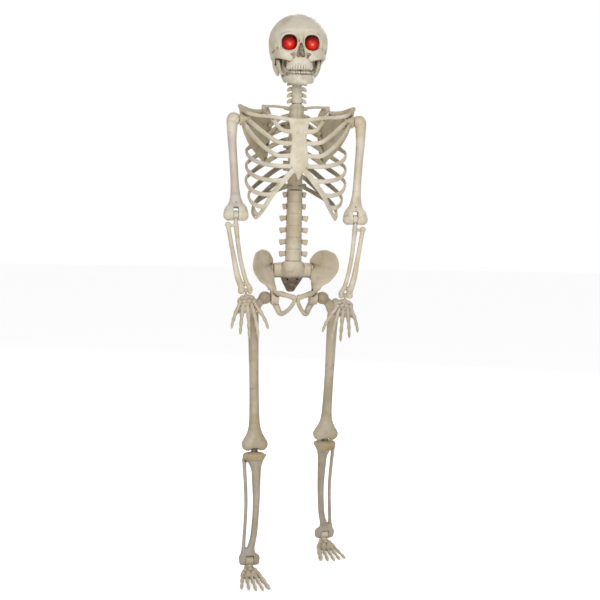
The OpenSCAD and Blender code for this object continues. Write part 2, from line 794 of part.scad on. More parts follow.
module breastbone() {
    limb([
        [0, -chest_front + 22, 0.83 * torso_len, 12, 4], [0, -chest_front + 21, 0.81 * torso_len, 27, 5],
        [0, -chest_front + 17, 0.73 * torso_len, 25, 5], [0, -chest_front + 10, 0.60 * torso_len, 22, 5],
        [0, -chest_front + 4, 0.43 * torso_len, 25, 5], [0, -chest_front, 0.31 * torso_len, 26, 5],
        [0, -chest_front, 0.25 * torso_len, 18, 5], [0, -chest_front + 2, 0.18 * torso_len, 9, 4],
        [0, -chest_front + 4, 0.115 * torso_len, 2, 2]
    ], sides = 6);
}

// Everything of the rib cage but its column and its shoulder bosses
module cage_bones() {
    breastbone();
    both() {
        for (r = rib_rows) rib(rib_path(r));
        upper_ribs();
        shoulder_blade();
        upper_back_ribs();
        costal_rim();
        last_rib();
    }
}

collar_h = 12;
module ribcage_front() {
    color(bone) on_torso() moulding() intersection() {
        cage_bones();
        block([-cut, -cut, -cut], [cut, -cage_seam, cut]);
    }
}

// Back moulding of one side: ribs, shoulder blade, shoulder boss and half of the column, which meets
// the half of the other side on the middle plane
spines = 6;
module ribcage_back(side) {
    color(aged) on_torso() sided(side) difference() {
        moulding() difference() {
            union() {
                difference() {
                    cage_bones();
                    block([-column_r, -column_r, torso_len], [column_r, column_r, cut]);
                }
                for (k = [0 : spines - 1])
                    translate([-3, column_r - 6, torso_len * (0.1 + 0.15 * k)]) rotate([-35, 0, 0])
                        cube([6, 22, 8]);
                translate([0, -shoulder_y, shoulder_z])
                    bar_x(shoulder_r, shoulder_x - shoulder_seat - 8, shoulder_x - side_gap);
                translate([0, 0, side_gap]) cylinder(r1 = lumbar_r + 3, r2 = column_r, h = collar_h);
                translate([0, 0, side_gap]) cylinder(r = column_r, h = torso_len - side_gap);
            }
            block([-cut, -cut, -cut], [0, cut, cut]);
            block([-cut, -cut, -cut], [cut, -cage_seam, cut]);
        }
        translate([0, 0, -1]) cylinder(r = waist_post_r + pin_fit, h = waist_post_len + end_room + 1);
        translate([0, -shoulder_y, shoulder_z])
            bar_x(bolt_r + pin_fit, shoulder_x - shoulder_seat - end_room, shoulder_x + 1);
    }
}
module right_ribcage_back() ribcage_back(RIGHT);
module left_ribcage_back() ribcage_back(LEFT);

// Lumbar spine: a turned column with a shallow seam below each vertebra, square side wings and the waist post
lumbar_bones = 6;
lumbar_len = 0.66 * loin_len;
lumbar_pitch = lumbar_len / lumbar_bones;
waist_post_len = 30;
function lumbar_bone(k) =
    let (r = lumbar_r + 0.3 * k, top = -lumbar_pitch * k, end = top - lumbar_pitch)
    [[r, top], [r - 0.8, (top + end) / 2], [r, end + 1.5], [r - 1.5, end + 0.7]];
module lumbar_spine() {
    color(bone) on_pelvis() {
        rotate_extrude() polygon(concat(
            [[0, waist_post_len], [waist_post_r, waist_post_len], [waist_post_r, 0]],
            [for (k = [0 : lumbar_bones - 1]) each lumbar_bone(k)],
            [[lumbar_r, -lumbar_len], [0, -lumbar_len]]
        ));
        for (k = [0 : lumbar_bones - 1]) translate([0, 3, -lumbar_pitch * (k + 0.42)]) {
            w = lumbar_r + (k < 2 ? 9 : 16);
            block([-w, -4, -5], [w, 6, 5]);
            block([-3.5, 0, -9], [3.5, lumbar_r + 15, 7]);
        }
    }
}

// Sacrum: a wedge with side wings that carries the column and both hip bones
sacrum_top = -lumbar_len;
seam_x = 52;
module sacrum() {
    color(aged) on_pelvis() moulding() difference() {
        union() {
            limb([
                [0, 0, sacrum_top - 0.1, 27, 21], [0, 0, sacrum_top - 14, 30, 22],
                [0, 6, sacrum_top - 28, 31, 20],
                [0, 22, sacrum_top - 50, 25, 12], [0, 32, sacrum_top - 72, 15, 8],
                [0, 34, sacrum_top - 90, 6, 5]
            ], sides = 8);
            both() limb([
                [10, 10, sacrum_top - 24, 22, 14], [34, 14, sacrum_top - 26, 21, 13],
                [seam_x + 4, 18, sacrum_top - 28, 19, 11]
            ], sides = 6);
        }
        both() block([seam_x, -cut, -cut], [cut, cut, cut]);
        block([-cut, -cut, sacrum_top], [cut, cut, cut]);
        both() for (k = [0 : 1]) translate([14 - 2.5 * k, 0, sacrum_top - 46 - 13 * k]) rotate([80, 0, 0])
            cylinder(r = 2.6, h = 80, center = true, $fn = 5);
    }
}

// Hip bone: a spoon-shaped blade, the socket boss, and the ring of the pubic and sitting bones
ball_flat = 3;
boss_face = ball_r - ball_flat + side_gap;
module hip_bone(side) {
    hz = -loin_len;
    hx = hip_x - boss_face;
    wing_foot = hz + ball_r + 2;
    color(bone) on_pelvis() sided(side) difference() {
        moulding() difference() {
            union() {
                limb([
                    [hx - 4, -hip_y + 2, hz - 4, 12, 12], [hx, -hip_y + 4, hz + 22, 17, 11],
                    [crest_x - 52, -10, hz + 43, 24, 8], [crest_x - 41, -8, hz + 63, 39, 6],
                    [crest_x - 35, -6, hz + 83, 51, blade_t], [crest_x - 35, -5, hz + 106, 48, blade_t],
                    [crest_x - 36, -3, hz + 123, 33, blade_t], [crest_x - 36, -2, hz + 131, 13, blade_t - 1.5],
                    [crest_x - 36, -2, hz + 132, 4, 1]
                ], up = [-0.7, -0.71, 0], sides = 8);
                limb([
                    [seam_x + 1, 17, hz + 46, 3, 5], [seam_x + 6, 17, hz + 52, 9, 12],
                    [seam_x + 6, 18, hz + 82, 9, 12], [seam_x + 4, 18, hz + 90, 3, 5]
                ], sides = 6);
                limb([
                    [hx - 8, -hip_y, hz + 4, 11, 12], [0.61 * hx, -hip_y - 20, hz + 9, 7, 7],
                    [0.31 * hx, -hip_y - 34, hz + 7, 6, 6], [4, -hip_y - 38, hz + 2, 6, 9]
                ], up = [0, 0, 1], sides = 6);
                limb([
                    [hx - 8, -hip_y + 4, hz - 4, 9, 11], [0.70 * hx, -hip_y + 8, hz - 26, 8, 9],
                    [0.55 * hx, -hip_y + 2, hz - 44, 8, 8], [0.34 * hx, -hip_y - 16, hz - 36, 6, 6],
                    [9, -hip_y - 31, hz - 17, 6, 6], [3, -hip_y - 36, hz, 5, 5]
                ], up = [1, 0, 0], sides = 6);
                translate([0, -hip_y, hz]) bar_x(ball_r + 1, hx - hip_seat - 6, hx + 4);
            }
            block([-cut, -cut, -far], [side_gap / 2, cut, cut]);
            block([-cut, -cut, wing_foot], [seam_x, cut, cut]);
            block([-cut, -hip_y + 16, -far], [seam_x, cut, wing_foot + 1]);
            block([hx, -cut, -far], [cut, cut, wing_foot]);
        }
        translate([0, -hip_y, hz]) bar_x(bolt_r + pin_fit, hx - hip_seat - end_room, hx + cut);
    }
}
module right_hip_bone() hip_bone(RIGHT);
module left_hip_bone() hip_bone(LEFT);

// Upper arm: round head with its boss, straight shaft, and a two-lobed knuckle slotted for the forearm
module humerus(side) {
    l = upper_arm_len;
    r = upper_arm_r;
    color(bone) at_shoulder(side) difference() {
        moulding() difference() {
            union() {
                bar_x(shoulder_r, side_gap, arm_out);
                limb([
                    [arm_out + 1, 0, shoulder_r - 1, 3, 3], [arm_out + 1, 0, shoulder_r - 5, 12, 12],
                    [arm_out, 0, 0, 17, shoulder_r], [arm_out - 1, 0, -18, 16, 16],
                    [arm_out - 1, 0, -40, r + 1.5, r + 1.5],
                    [arm_out - 2, 0, -70, r, r], [arm_out - 0.5 * elbow_in, 0, -0.5 * l, r - 0.5, r],
                    [elbow_x + 3, 0, -0.73 * l, r + 0.5, r], [elbow_x + 1, 0, -l + 38, r + 6, r],
                    [elbow_x, 0, -l + 20, elbow_w - 5, elbow_r - 2],
                    [elbow_x, 0, -l + 2, elbow_w, elbow_r - 1],
                    [elbow_x, 0, -l - 0.7 * elbow_r, elbow_w - 4, 0.68 * elbow_r],
                    [elbow_x, 0, -l - elbow_r, elbow_w - 13, 3]
                ]);
            }
            translate([elbow_x, 0, -l]) slot(elbow_slot, elbow_r + 4, -cut);
        }
        bar_x(bolt_r + pin_fit, -1, arm_out + 7 + end_room);
        translate([elbow_x, 0, -l]) bar_x(limb_pin_r + pin_fit, -elbow_w - 1, elbow_w + 1);
    }
}
module right_humerus() humerus(RIGHT);
module left_humerus() humerus(LEFT);

// Ends of the elbow, knee and ankle pins below the lobes they pass through
pin_inset = 3;
module shoulder_pin(side) {
    color(steel) at_shoulder(side) bar_x(bolt_r, -shoulder_seat, arm_out + 7);
}
module right_shoulder_pin() shoulder_pin(RIGHT);
module left_shoulder_pin() shoulder_pin(LEFT);

module elbow_pin(side) {
    color(steel) at_shoulder(side) translate([elbow_x, 0, -upper_arm_len])
        bar_x(limb_pin_r, pin_inset - elbow_w, elbow_w - pin_inset);
}
module right_elbow_pin() elbow_pin(RIGHT);
module left_elbow_pin() elbow_pin(LEFT);

// Forearm: the inner bone carries the elbow tongue, the outer one bows beside it, both form the wrist fork
tongue_r = 0.74 * elbow_r;
module forearm(side) {
    l = forearm_len;
    r = forearm_r;
    t = elbow_slot / 2 - side_gap;
    leg_x = (wrist_w + wrist_slot / 2) / 2;
    leg_w = (wrist_w - wrist_slot / 2) / 2;
    low = elbow_r + 6;
    color(bone) at_elbow(side) difference() {
        moulding() difference() {
            union() {
                bar_x(tongue_r, -t, t);
                limb([
                    [0, 0, 4, t, 7], [0, 0, -elbow_r, t, 8], [-1, 0, -low - 8, r + 1, r + 1.5],
                    [-4, 0, -0.3 * l, r, r + 0.5],
                    [-0.45 * wrist_in, 0, -0.58 * l, r, r], [-0.95 * wrist_in, 0, -0.85 * l, r, r],
                    [-wrist_in - leg_x + 1, 0, -l + 8, leg_w, wrist_r],
                    [-wrist_in - leg_x, 0, -l, leg_w + 0.5, wrist_r],
                    [-wrist_in - leg_x, 0, -l - 0.75 * wrist_r, leg_w - 1, 0.6 * wrist_r]
                ], sides = 6);
                limb([
                    [21, 0, -low, 7, 7], [21, 0, -low - 3, 9, 9], [20.5, 0, -low - 8, 8, 8],
                    [19.5, 0, -low - 15, r, r],
                    [14, 0, -0.34 * l, r, r], [6, 0, -0.55 * l, r + 0.3, r], [-5, 0, -0.8 * l, r + 1, r],
                    [-wrist_in + leg_x - 1, 0, -l + 8, leg_w, wrist_r],
                    [-wrist_in + leg_x, 0, -l, leg_w + 0.5, wrist_r],
                    [-wrist_in + leg_x, 0, -l - 0.75 * wrist_r, leg_w - 1, 0.6 * wrist_r]
                ], sides = 6);
                limb([
                    [-1, 0, -low - 7, 5, 5], [10, 0, -low - 6, 4, 4.5], [20, 0, -low - 5, 4, 5]
                ], sides = 6);
                limb([
                    [-wrist_in - leg_x, 0, -l + 22, 5, 4], [-wrist_in + leg_x, 0, -l + 22, 5, 4]
                ], sides = 6);
            }
            translate([-wrist_in, 0, -l]) slot(wrist_slot, wrist_r + 2, -cut);
        }
        bar_x(limb_pin_r + pin_fit, -cut, cut);
        translate([-wrist_in, 0, -l]) bar_x(small_pin_r + pin_fit, -wrist_w - 2, wrist_w + 2);
    }
}
module right_forearm() forearm(RIGHT);
module left_forearm() forearm(LEFT);

module wrist_pin(side) {
    color(steel) at_elbow(side) translate([-wrist_in, 0, -forearm_len])
        bar_x(small_pin_r, 2 - wrist_w, wrist_w - 2);
}
module right_wrist_pin() wrist_pin(RIGHT);
module left_wrist_pin() wrist_pin(LEFT);

// Hand: wrist tongue, a slab of wrist bones and five jointed fingers. Each finger is [root and tip as shares
// of the palm's half width, share of the hand's length], and swells at its knuckles
finger_rows = [
    [0.64, 1.55, 0.80], [0.26, 0.58, 0.92], [-0.17, -0.42, 1.00], [-0.58, -1.42, 0.98], [-0.86, -2.50, 0.80]
];
knuckles = [5.4, 4.4, 5.4, 3.8, 4.7, 3.4, 2];
module hand(side) {
    t = wrist_slot / 2 - side_gap;
    top = wrist_r + 4;
    root = top + 22;
    color(bone) at_wrist(side) difference() {
        moulding() {
            bar_x(0.8 * wrist_r, -t, t);
            limb([[0, 0, 0, t, 5], [0, 0, -wrist_r, t, 5.5], [0, 0, -top - 4, 9, 6]], sides = 6);
            limb([
                [0, 0, -top, 6, 4], [-1, 0, -top - 4, 0.8 * palm_w, 7], [-2, 0, -top - 14, palm_w, 7.5],
                [-3, 0, -root - 2, 0.9 * palm_w, 6], [-3, 0, -root - 4.4, 0.55 * palm_w, 2.2]
            ], sides = 6);
            for (f = finger_rows) {
                reach = f[2] * hand_len - root;
                limb([for (k = [0 : len(knuckles) - 1])
                    let (u = k / (len(knuckles) - 1), r = knuckles[k])
                    [palm_w * (f[0] + (f[1] - f[0]) * u), 7 * u * u, -root + 2 - reach * u, r, r]
                ], sides = 4);
            }
        }
        bar_x(small_pin_r + pin_fit, -cut, cut);
    }
}
module right_hand() hand(RIGHT);
module left_hand() hand(LEFT);

knee_disc = knee_r - 5;
// Thigh bone: ball, neck, shaft and a two-lobed knuckle slotted from behind for the shin
module femur(side) {
    l = thigh_len;
    r = thigh_r;
    x = thigh_out;
    color(bone) at_hip(side) difference() {
        moulding() difference() {
            union() {
                intersection() {
                    sphere(r = ball_r, $fn = 14);
                    block([-ball_r + ball_flat, -cut, -cut], [cut, cut, cut]);
                }
                limb([
                    [3, 0, -2, 13, 13], [0.45 * x, 0, -12, 12, 12], [0.8 * x, 0, -26, 15, 13],
                    [x, 0, -44, 14, 13]
                ], sides = 6);
                limb([
                    [x + 6, 4, -2, 3, 3], [x + 6, 4, -7, 10, 10], [x + 4, 3, -24, r + 2.5, r + 1],
                    [x + 1, 1, -50, r + 3, r + 1],
                    [x, 0, -90, r + 1.5, r], [x, -3, -0.5 * l, r, r], [x, -3, -0.75 * l, r + 1, r],
                    [x, -3, -l + 52, r + 4, r + 1],
                    [x, -4, -l + 27, knee_w - 9, knee_r + 1], [x, -4, -l + 4, knee_w, knee_r + 3],
                    [x, -3, -l - 0.55 * knee_r, knee_w - 2, knee_r - 2], [x, -2, -l - knee_r, knee_w - 9, 6]
                ]);
            }
            translate([x, 0, -l]) slot(knee_slot, knee_disc + side_gap, -knee_disc - side_gap);
            translate([x, 0, -l - cut - 8]) slot(knee_slot, cut, -cut);
        }
        bar_x(bolt_r + pin_fit, -cut, 0.45 * x);
        translate([x, 0, -l]) bar_x(knee_pin_r + pin_fit, -knee_w - 2, knee_w + 2);
    }
}
module right_femur() femur(RIGHT);
module left_femur() femur(LEFT);

module hip_pin(side) {
    color(steel) on_pelvis() sided(side) translate([hip_x, -hip_y, -loin_len])
        bar_x(bolt_r, -boss_face - hip_seat, 0.45 * thigh_out - 1);
}
module right_hip_pin() hip_pin(RIGHT);
module left_hip_pin() hip_pin(LEFT);

module knee_pin(side) {
    color(steel) at_knee(side) bar_x(knee_pin_r, pin_inset - knee_w, knee_w - pin_inset);
}
module right_knee_pin() knee_pin(RIGHT);
module left_knee_pin() knee_pin(LEFT);

// Shin: knee tongue, broad plateau, two bones and the ankle fork
module shin(side) {
    l = shin_len;
    r = shin_r;
    t = knee_slot / 2 - side_gap;
    x = ankle_out;
    top = knee_r + 4;
    color(bone) at_knee(side) difference() {
        moulding() difference() {
            union() {
                bar_x(knee_disc, -t, t);
                limb([[0, 0, 0, t, 9], [0, 0, -knee_r, t, 10], [0, 0, -top - 6, t, 12]], sides = 8);
                limb([
                    [0, 0, -top, knee_w - 7, 16], [0, 0, -top - 5, knee_w - 2, 20],
                    [-1, 0, -top - 11, knee_w - 6, 18],
                    [-3, -1, -top - 25, 2 * r, r + 6], [-4, -1, -0.28 * l, r + 3, r + 3],
                    [-3, -1, -0.52 * l, r, r + 1],
                    [0.2 * x, 0, -0.76 * l, r - 0.5, r], [0.7 * x, 0, -l + 36, r + 1, r],
                    [x, 0, -l + 20, ankle_w - 7, ankle_r - 2],
                    [x, 0, -l + 8, ankle_w, ankle_r], [x, 0, -l - 2, ankle_w, ankle_r - 1],
                    [x, 0, -l - 0.8 * ankle_r, ankle_w - 3, 0.5 * ankle_r]
                ]);
                limb([
                    [knee_w - 12, 5, -top - 8, 5, 6], [knee_w - 9, 6, -top - 18, 7, 7.5],
                    [knee_w - 9, 6, -top - 36, 5.5, 5.5],
                    [knee_w - 12, 5, -0.5 * l, 5, 5], [x + 14, 3, -l + 50, 5, 5.5],
                    [x + 16, 1, -l + 22, 7, 8], [x + 16, 0, -l + 10, 6, 8]
                ], sides = 6);
            }
            translate([x, 0, -l]) slot(ankle_slot, ankle_r + 2, -cut);
        }
        bar_x(knee_pin_r + pin_fit, -cut, cut);
        translate([x, 0, -l]) bar_x(limb_pin_r + pin_fit, -ankle_w - 2, ankle_w + 2);
    }
}
module right_shin() shin(RIGHT);
module left_shin() shin(LEFT);

module ankle_pin(side) {
    color(steel) at_knee(side) translate([ankle_out, 0, -shin_len])
        bar_x(limb_pin_r, pin_inset - ankle_w, ankle_w - pin_inset);
}
module right_ankle_pin() ankle_pin(RIGHT);
module left_ankle_pin() ankle_pin(LEFT);

// Foot: ankle tongue, heel and instep, and five toes. Each toe is [root and tip as shares of the spread,
// share of the foot's length, thickness against the small toes]
toe_rows = [
    [-0.43, -0.92, 0.93, 1.4], [-0.21, -0.44, 1.00, 1], [0.01, 0.02, 0.99, 1], [0.23, 0.48, 0.93, 1],
    [0.44, 0.97, 0.85, 1]
];
toe_knuckles = [5, 4.2, 5, 3.8, 4.4, 2.2];
module foot(side) {
    t = ankle_slot / 2 - side_gap;
    root = 0.26 * foot_len;
    sole = -ankle_h;
    color(bone) at_ankle(side) difference() {
        moulding() intersection() {
            union() {
                bar_x(ankle_r + 1, -t, t);
                limb([
                    [0, 0, 0, t, 9], [0, -1, -ankle_r, t, 11], [0, -3, -ankle_r - 8, t + 2, 15],
                    [0, -4, sole + 16, t + 4, 16]
                ], sides = 6);
                limb([
                    [0, heel, sole + 12, 4, 6], [0, heel - 4, sole + 12, 10, 14],
                    [0, 0.5 * heel, sole + 14, 13, 18],
                    [0, 0, sole + 17, 14, 16], [0, -0.5 * root, sole + 17, 0.48 * toe_spread, 14],
                    [0, -root, sole + 14, 0.56 * toe_spread, 11],
                    [0, -root - 8, sole + 12, 0.5 * toe_spread, 8]
                ], up = [0, 0, 1], sides = 6);
                for (f = toe_rows) {
                    reach = f[2] * foot_len - root;
                    limb([for (j = [0 : len(toe_knuckles) - 1])
                        let (u = j / (len(toe_knuckles) - 1), r = f[3] * toe_knuckles[j])
                        [toe_spread * (f[0] + (f[1] - f[0]) * u), -root - reach * u, sole + 14 - 11 * u, r, r]
                    ], up = [0, 0, 1], sides = 4);
                }
            }
            block([-cut, -cut, sole], [cut, cut, cut]);
        }
        bar_x(limb_pin_r + pin_fit, -cut, cut);
    }
}
module right_foot() foot(RIGHT);
module left_foot() foot(LEFT);

skull_face();
skull_back();
hang_tab();
eye_lenses();
eye_lamps();
lamp_holders();
cells();
cell_contacts();
battery_door();
door_screw();
switch_housing();
switch_slider();
jaw_pins();
mandible();
neck();
neck_ring();
ribcage_front();
right_ribcage_back();
left_ribcage_back();
lumbar_spine();
sacrum();
right_hip_bone();
left_hip_bone();
right_humerus();
left_humerus();
right_forearm();
left_forearm();
right_hand();
left_hand();
right_shoulder_pin();
left_shoulder_pin();
right_elbow_pin();
left_elbow_pin();
right_wrist_pin();
left_wrist_pin();
right_femur();
left_femur();
right_shin();
left_shin();
right_foot();
left_foot();
right_hip_pin();
left_hip_pin();
right_knee_pin();
left_knee_pin();
right_ankle_pin();
left_ankle_pin();
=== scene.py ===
import json

import bpy
import numpy as np
from mathutils import Matrix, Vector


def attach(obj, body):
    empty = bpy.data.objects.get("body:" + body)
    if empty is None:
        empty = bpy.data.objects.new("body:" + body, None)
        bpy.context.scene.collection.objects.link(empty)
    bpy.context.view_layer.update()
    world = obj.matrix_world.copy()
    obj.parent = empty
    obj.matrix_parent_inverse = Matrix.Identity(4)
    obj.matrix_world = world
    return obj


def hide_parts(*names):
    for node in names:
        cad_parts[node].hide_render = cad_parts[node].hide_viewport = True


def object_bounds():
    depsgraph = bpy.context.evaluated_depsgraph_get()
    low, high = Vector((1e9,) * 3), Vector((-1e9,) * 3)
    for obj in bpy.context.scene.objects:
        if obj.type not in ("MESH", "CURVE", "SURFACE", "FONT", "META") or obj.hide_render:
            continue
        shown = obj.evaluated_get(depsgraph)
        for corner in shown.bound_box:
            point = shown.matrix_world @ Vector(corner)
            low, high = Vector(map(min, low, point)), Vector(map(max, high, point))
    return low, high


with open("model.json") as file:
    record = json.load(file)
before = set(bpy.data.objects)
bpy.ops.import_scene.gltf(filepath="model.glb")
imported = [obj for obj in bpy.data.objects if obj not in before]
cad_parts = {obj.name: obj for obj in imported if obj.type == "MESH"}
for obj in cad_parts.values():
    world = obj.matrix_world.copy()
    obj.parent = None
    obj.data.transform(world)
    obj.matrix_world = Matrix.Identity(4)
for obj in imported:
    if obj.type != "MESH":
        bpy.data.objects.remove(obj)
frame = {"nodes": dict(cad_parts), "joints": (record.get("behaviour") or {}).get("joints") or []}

cad_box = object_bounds()

# Studio: a pale floor under the soles, an evenly lit white room and three large soft lamps.
# The camera stands a little to the figure's right at waist height; its lens is worked out for a picture 600
# pixels square.
scene = bpy.context.scene
picture_px = 600
focal_px = 1369
camera_at = (-0.3422, -3.7998, -0.4316)
yaw, pitch, roll = np.radians((-5.5, 5.26, -1.3))
level_way = np.array((-np.sin(yaw), np.cos(yaw), 0))
ahead = level_way * np.cos(pitch) - np.array((0, 0, np.sin(pitch)))
right = np.array((np.cos(yaw), np.sin(yaw), 0))
above = np.cross(right, ahead)
camera = bpy.data.objects.new("camera", bpy.data.cameras.new("camera"))
camera.data.lens = camera.data.sensor_width * focal_px / picture_px
turned = np.eye(4)
turned[:3, 0] = right * np.cos(roll) - above * np.sin(roll)
turned[:3, 1] = right * np.sin(roll) + above * np.cos(roll)
turned[:3, 2] = -ahead
turned[:3, 3] = camera_at
camera.matrix_world = Matrix(turned)
scene.collection.objects.link(camera)
scene.camera = camera
scene.view_settings.view_transform = "Standard"


def add(tree, kind, inputs=None, **settings):
    """Adds one shader node: settings are its own choices, inputs its sockets, each a value or an output."""
    made = tree.nodes.new("ShaderNode" + kind)
    for key, value in settings.items():
        setattr(made, key, value)
    for socket, value in (inputs or {}).items():
        if isinstance(value, bpy.types.NodeSocket):
            tree.links.new(value, made.inputs[socket])
        else:
            made.inputs[socket].default_value = value
    return made


def seen_directly(tree):
    """One for rays that show the background: from the camera, in a reflection or through a clear piece."""
    path = add(tree, "LightPath").outputs
    glossy = add(tree, "Math", {0: path["Is Camera Ray"], 1: path["Is Glossy Ray"]}, operation="MAXIMUM")
    clear = {0: glossy.outputs[0], 1: path["Is Transmission Ray"]}
    return add(tree, "Math", clear, operation="MAXIMUM").outputs[0]


world = bpy.data.worlds.new("white room")
scene.world = world
world.use_nodes = True
room_light = 0.36
shown = seen_directly(world.node_tree)
strength = add(world.node_tree, "MapRange", {0: shown, 3: room_light, 4: 1.0}).outputs[0]
world.node_tree.links.new(strength, world.node_tree.nodes["Background"].inputs["Strength"])
world.node_tree.nodes["Background"].inputs["Color"].default_value = (1, 1, 1, 1)

floor_half = 12.0
floor_z = cad_box[0][2] - 0.0005
floor_grey, floor_rough, floor_lift = 0.82, 0.95, 0.62
floor = bpy.data.objects.new("floor", bpy.data.meshes.new("floor"))
floor.data.from_pydata(
    [(-floor_half, -floor_half, floor_z), (floor_half, -floor_half, floor_z),
     (floor_half, floor_half, floor_z), (-floor_half, floor_half, floor_z)], [], [(0, 1, 2, 3)])


def new_material(name):
    """Material with nodes: itself, its node tree and its shader."""
    material = bpy.data.materials.new(name)
    material.use_nodes = True
    return material, material.node_tree, material.node_tree.nodes["Principled BSDF"]


# Matt white paper, lifted to white for the rays that show the background, so that only its shadow is seen
paper, tree, shader = new_material("white paper floor")
shader.inputs["Base Color"].default_value = (floor_grey, floor_grey, floor_grey, 1)
shader.inputs["Roughness"].default_value = floor_rough
lift = add(tree, "MapRange", {0: seen_directly(tree), 4: floor_lift}).outputs[0]
glow = add(tree, "Emission", {"Strength": lift})
both_shaders = add(tree, "AddShader", {0: shader.outputs[0], 1: glow.outputs[0]})
tree.links.new(both_shaders.outputs[0], tree.nodes["Material Output"].inputs["Surface"])
floor.data.materials.append(paper)
scene.collection.objects.link(floor)

# Each lamp: where it stands, its width in metres and its power in watts
lamps = {
    "key": ((-1.0, -3.5, 0.6), 1.8, 66), "fill": ((1.9, -3.0, 0.2), 1.8, 24),
    "back": ((0.9, 2.9, 0.9), 2.2, 56)
}
aim = np.array((0, 0, -0.6))
for name, (at, size, watts) in lamps.items():
    lamp = bpy.data.objects.new(name, bpy.data.lights.new(name, "AREA"))
    lamp.data.size = size
    lamp.data.energy = watts
    back = (np.array(at) - aim) / np.linalg.norm(np.array(at) - aim)
    side_way = np.cross((0, 0, 1), back)
    side_way /= np.linalg.norm(side_way)
    stand = np.eye(4)
    stand[:3, :3] = np.stack([side_way, np.cross(back, side_way), back], axis=1)
    stand[:3, 3] = at
    lamp.matrix_world = Matrix(stand)
    scene.collection.objects.link(lamp)

# Skull: two blow-moulded shells of bone-coloured vinyl, glued at a seam behind the cheeks. The face
# shell has the sockets, nose opening, cheek arches and upper teeth; a brown wash lies in its hollows.
mm = 0.001
hinges = {j["name"]: j for j in frame["joints"] if j["type"] == "hinge"}
joint_at = {name: np.array(j["pos_m"]) / mm for name, j in hinges.items()}


def linear(code):
    """Linear colour of an sRGB hex code."""
    c = np.array([int(code[i:i + 2], 16) for i in (1, 3, 5)]) / 255
    return (*np.where(c <= 0.04045, c / 12.92, ((c + 0.055) / 1.055) ** 2.4), 1.0)


def moulded_vinyl(name, pale, warm, cool, wash, soot="#5f4d3d"):
    """Soft PVC sprayed bone colour: broad warm and cool patches, a brown wash that was wiped off the
    high places and stayed in the hollows, deepened as painted shade in the slots of the joints and in the
    mouth, a darker coat where the mesh asks for it, which is a second coat of paint on some pieces and
    painted shade on the back of the rib cage, fine speckle, and a satin skin with faint orange peel."""
    material, tree, shader = new_material(name)
    where = add(tree, "TexCoord").outputs["Object"]
    depth = add(tree, "Attribute", attribute_name="hollow").outputs["Fac"]
    share = {"soot": add(tree, "Attribute", attribute_name="soot").outputs["Fac"]}
    # Noise of a size in mm and a detail, rising between two values from the least share to the most. The
    # specks of 3 mm are drawn coarser than the real ones so that they show.
    patterns = {
        "warm": (70, 3, 0.38, 0.62, 0, 1), "cool": (120, 2, 0.52, 0.72, 0, 0.75),
        "uneven": (14, 4, 0.25, 0.60, 0.70, 1), "grime": (16, 5, 0.50, 0.72, 0, 0.30),
        "grimy place": (55, 2, 0.40, 0.62, 0, 1), "broken": (9, 4, 0.30, 0.65, 0.45, 1),
        "specks": (3.2, 3, 0.58, 0.72, 0, 0.40), "specked place": (40, 2, 0.40, 0.65, 0, 1),
        "roughness": (12, 3, 0.30, 0.70, 0.42, 0.60)
    }
    for key, (size_mm, detail, low, high, least, most) in patterns.items():
        noise = add(tree, "TexNoise", {"Vector": where, "Scale": 1 / (size_mm * mm), "Detail": detail})
        rising = {0: noise.outputs[0], 1: low, 2: high, 3: least, 4: most}
        share[key] = add(tree, "MapRange", rising, interpolation_type="SMOOTHSTEP").outputs[0]
    for key, low, high, most in (("hollow", 0.03, 0.60, 1), ("ridge", -0.25, -1.6, 0.30)):
        rising = {0: depth, 1: low, 2: high, 4: most}
        share[key] = add(tree, "MapRange", rising, interpolation_type="SMOOTHSTEP").outputs[0]
    # Coats from the first to the last, each with one share or the product of two; ridges are worn pale again
    # The dark coat stands for a second coat of paint on some pieces and for painted shade on the back of the
    # rib cage
    coats = [
        (warm, "warm"), (cool, "cool"), (soot, "soot", "uneven"), (wash, "grime", "grimy place"),
        (wash, "hollow", "broken"), (wash, "specks", "specked place"), (pale, "ridge")
    ]
    tone = linear(pale)
    for colour, first, *second in coats:
        cover = share[first]
        for key in second:
            cover = add(tree, "Math", {0: cover, 1: share[key]}, operation="MULTIPLY").outputs[0]
        tone = add(tree, "Mix", {0: cover, 6: tone, 7: linear(colour)}, data_type="RGBA").outputs[2]
    tree.links.new(tone, shader.inputs["Base Color"])
    tree.links.new(share["roughness"], shader.inputs["Roughness"])
    shader.inputs["IOR"].default_value = 1.53
    peel_mm = 2.4
    peel = add(tree, "TexNoise", {"Vector": where, "Scale": 1 / (peel_mm * mm), "Detail": 3})
    relief = add(tree, "Bump", {"Height": peel.outputs[0], "Strength": 0.22, "Distance": 0.5 * mm})
    tree.links.new(relief.outputs[0], shader.inputs["Normal"])
    return material


# Soft PVC, sprayed pale bone colour: a warm satin skin with brown in every hollow
bone_vinyl = moulded_vinyl("bone vinyl", "#d8cfbc", "#c7bb9e", "#b7acaa", "#5d4632")


def through(rows, count):
    """Rows at even steps along the Catmull-Rom curve that passes through every given row."""
    rows = np.asarray(rows, float)
    t = np.linspace(0, len(rows) - 1, count)
    i = np.minimum(t.astype(int), len(rows) - 2)
    f = (t - i)[:, None]
    a, b, c, d = (rows[np.clip(i + k, 0, len(rows) - 1)] for k in (-1, 0, 1, 2))
    return b + 0.5 * f * (c - a + f * (2 * a - 5 * b + 4 * c - d + f * (3 * (b - c) + d - a)))


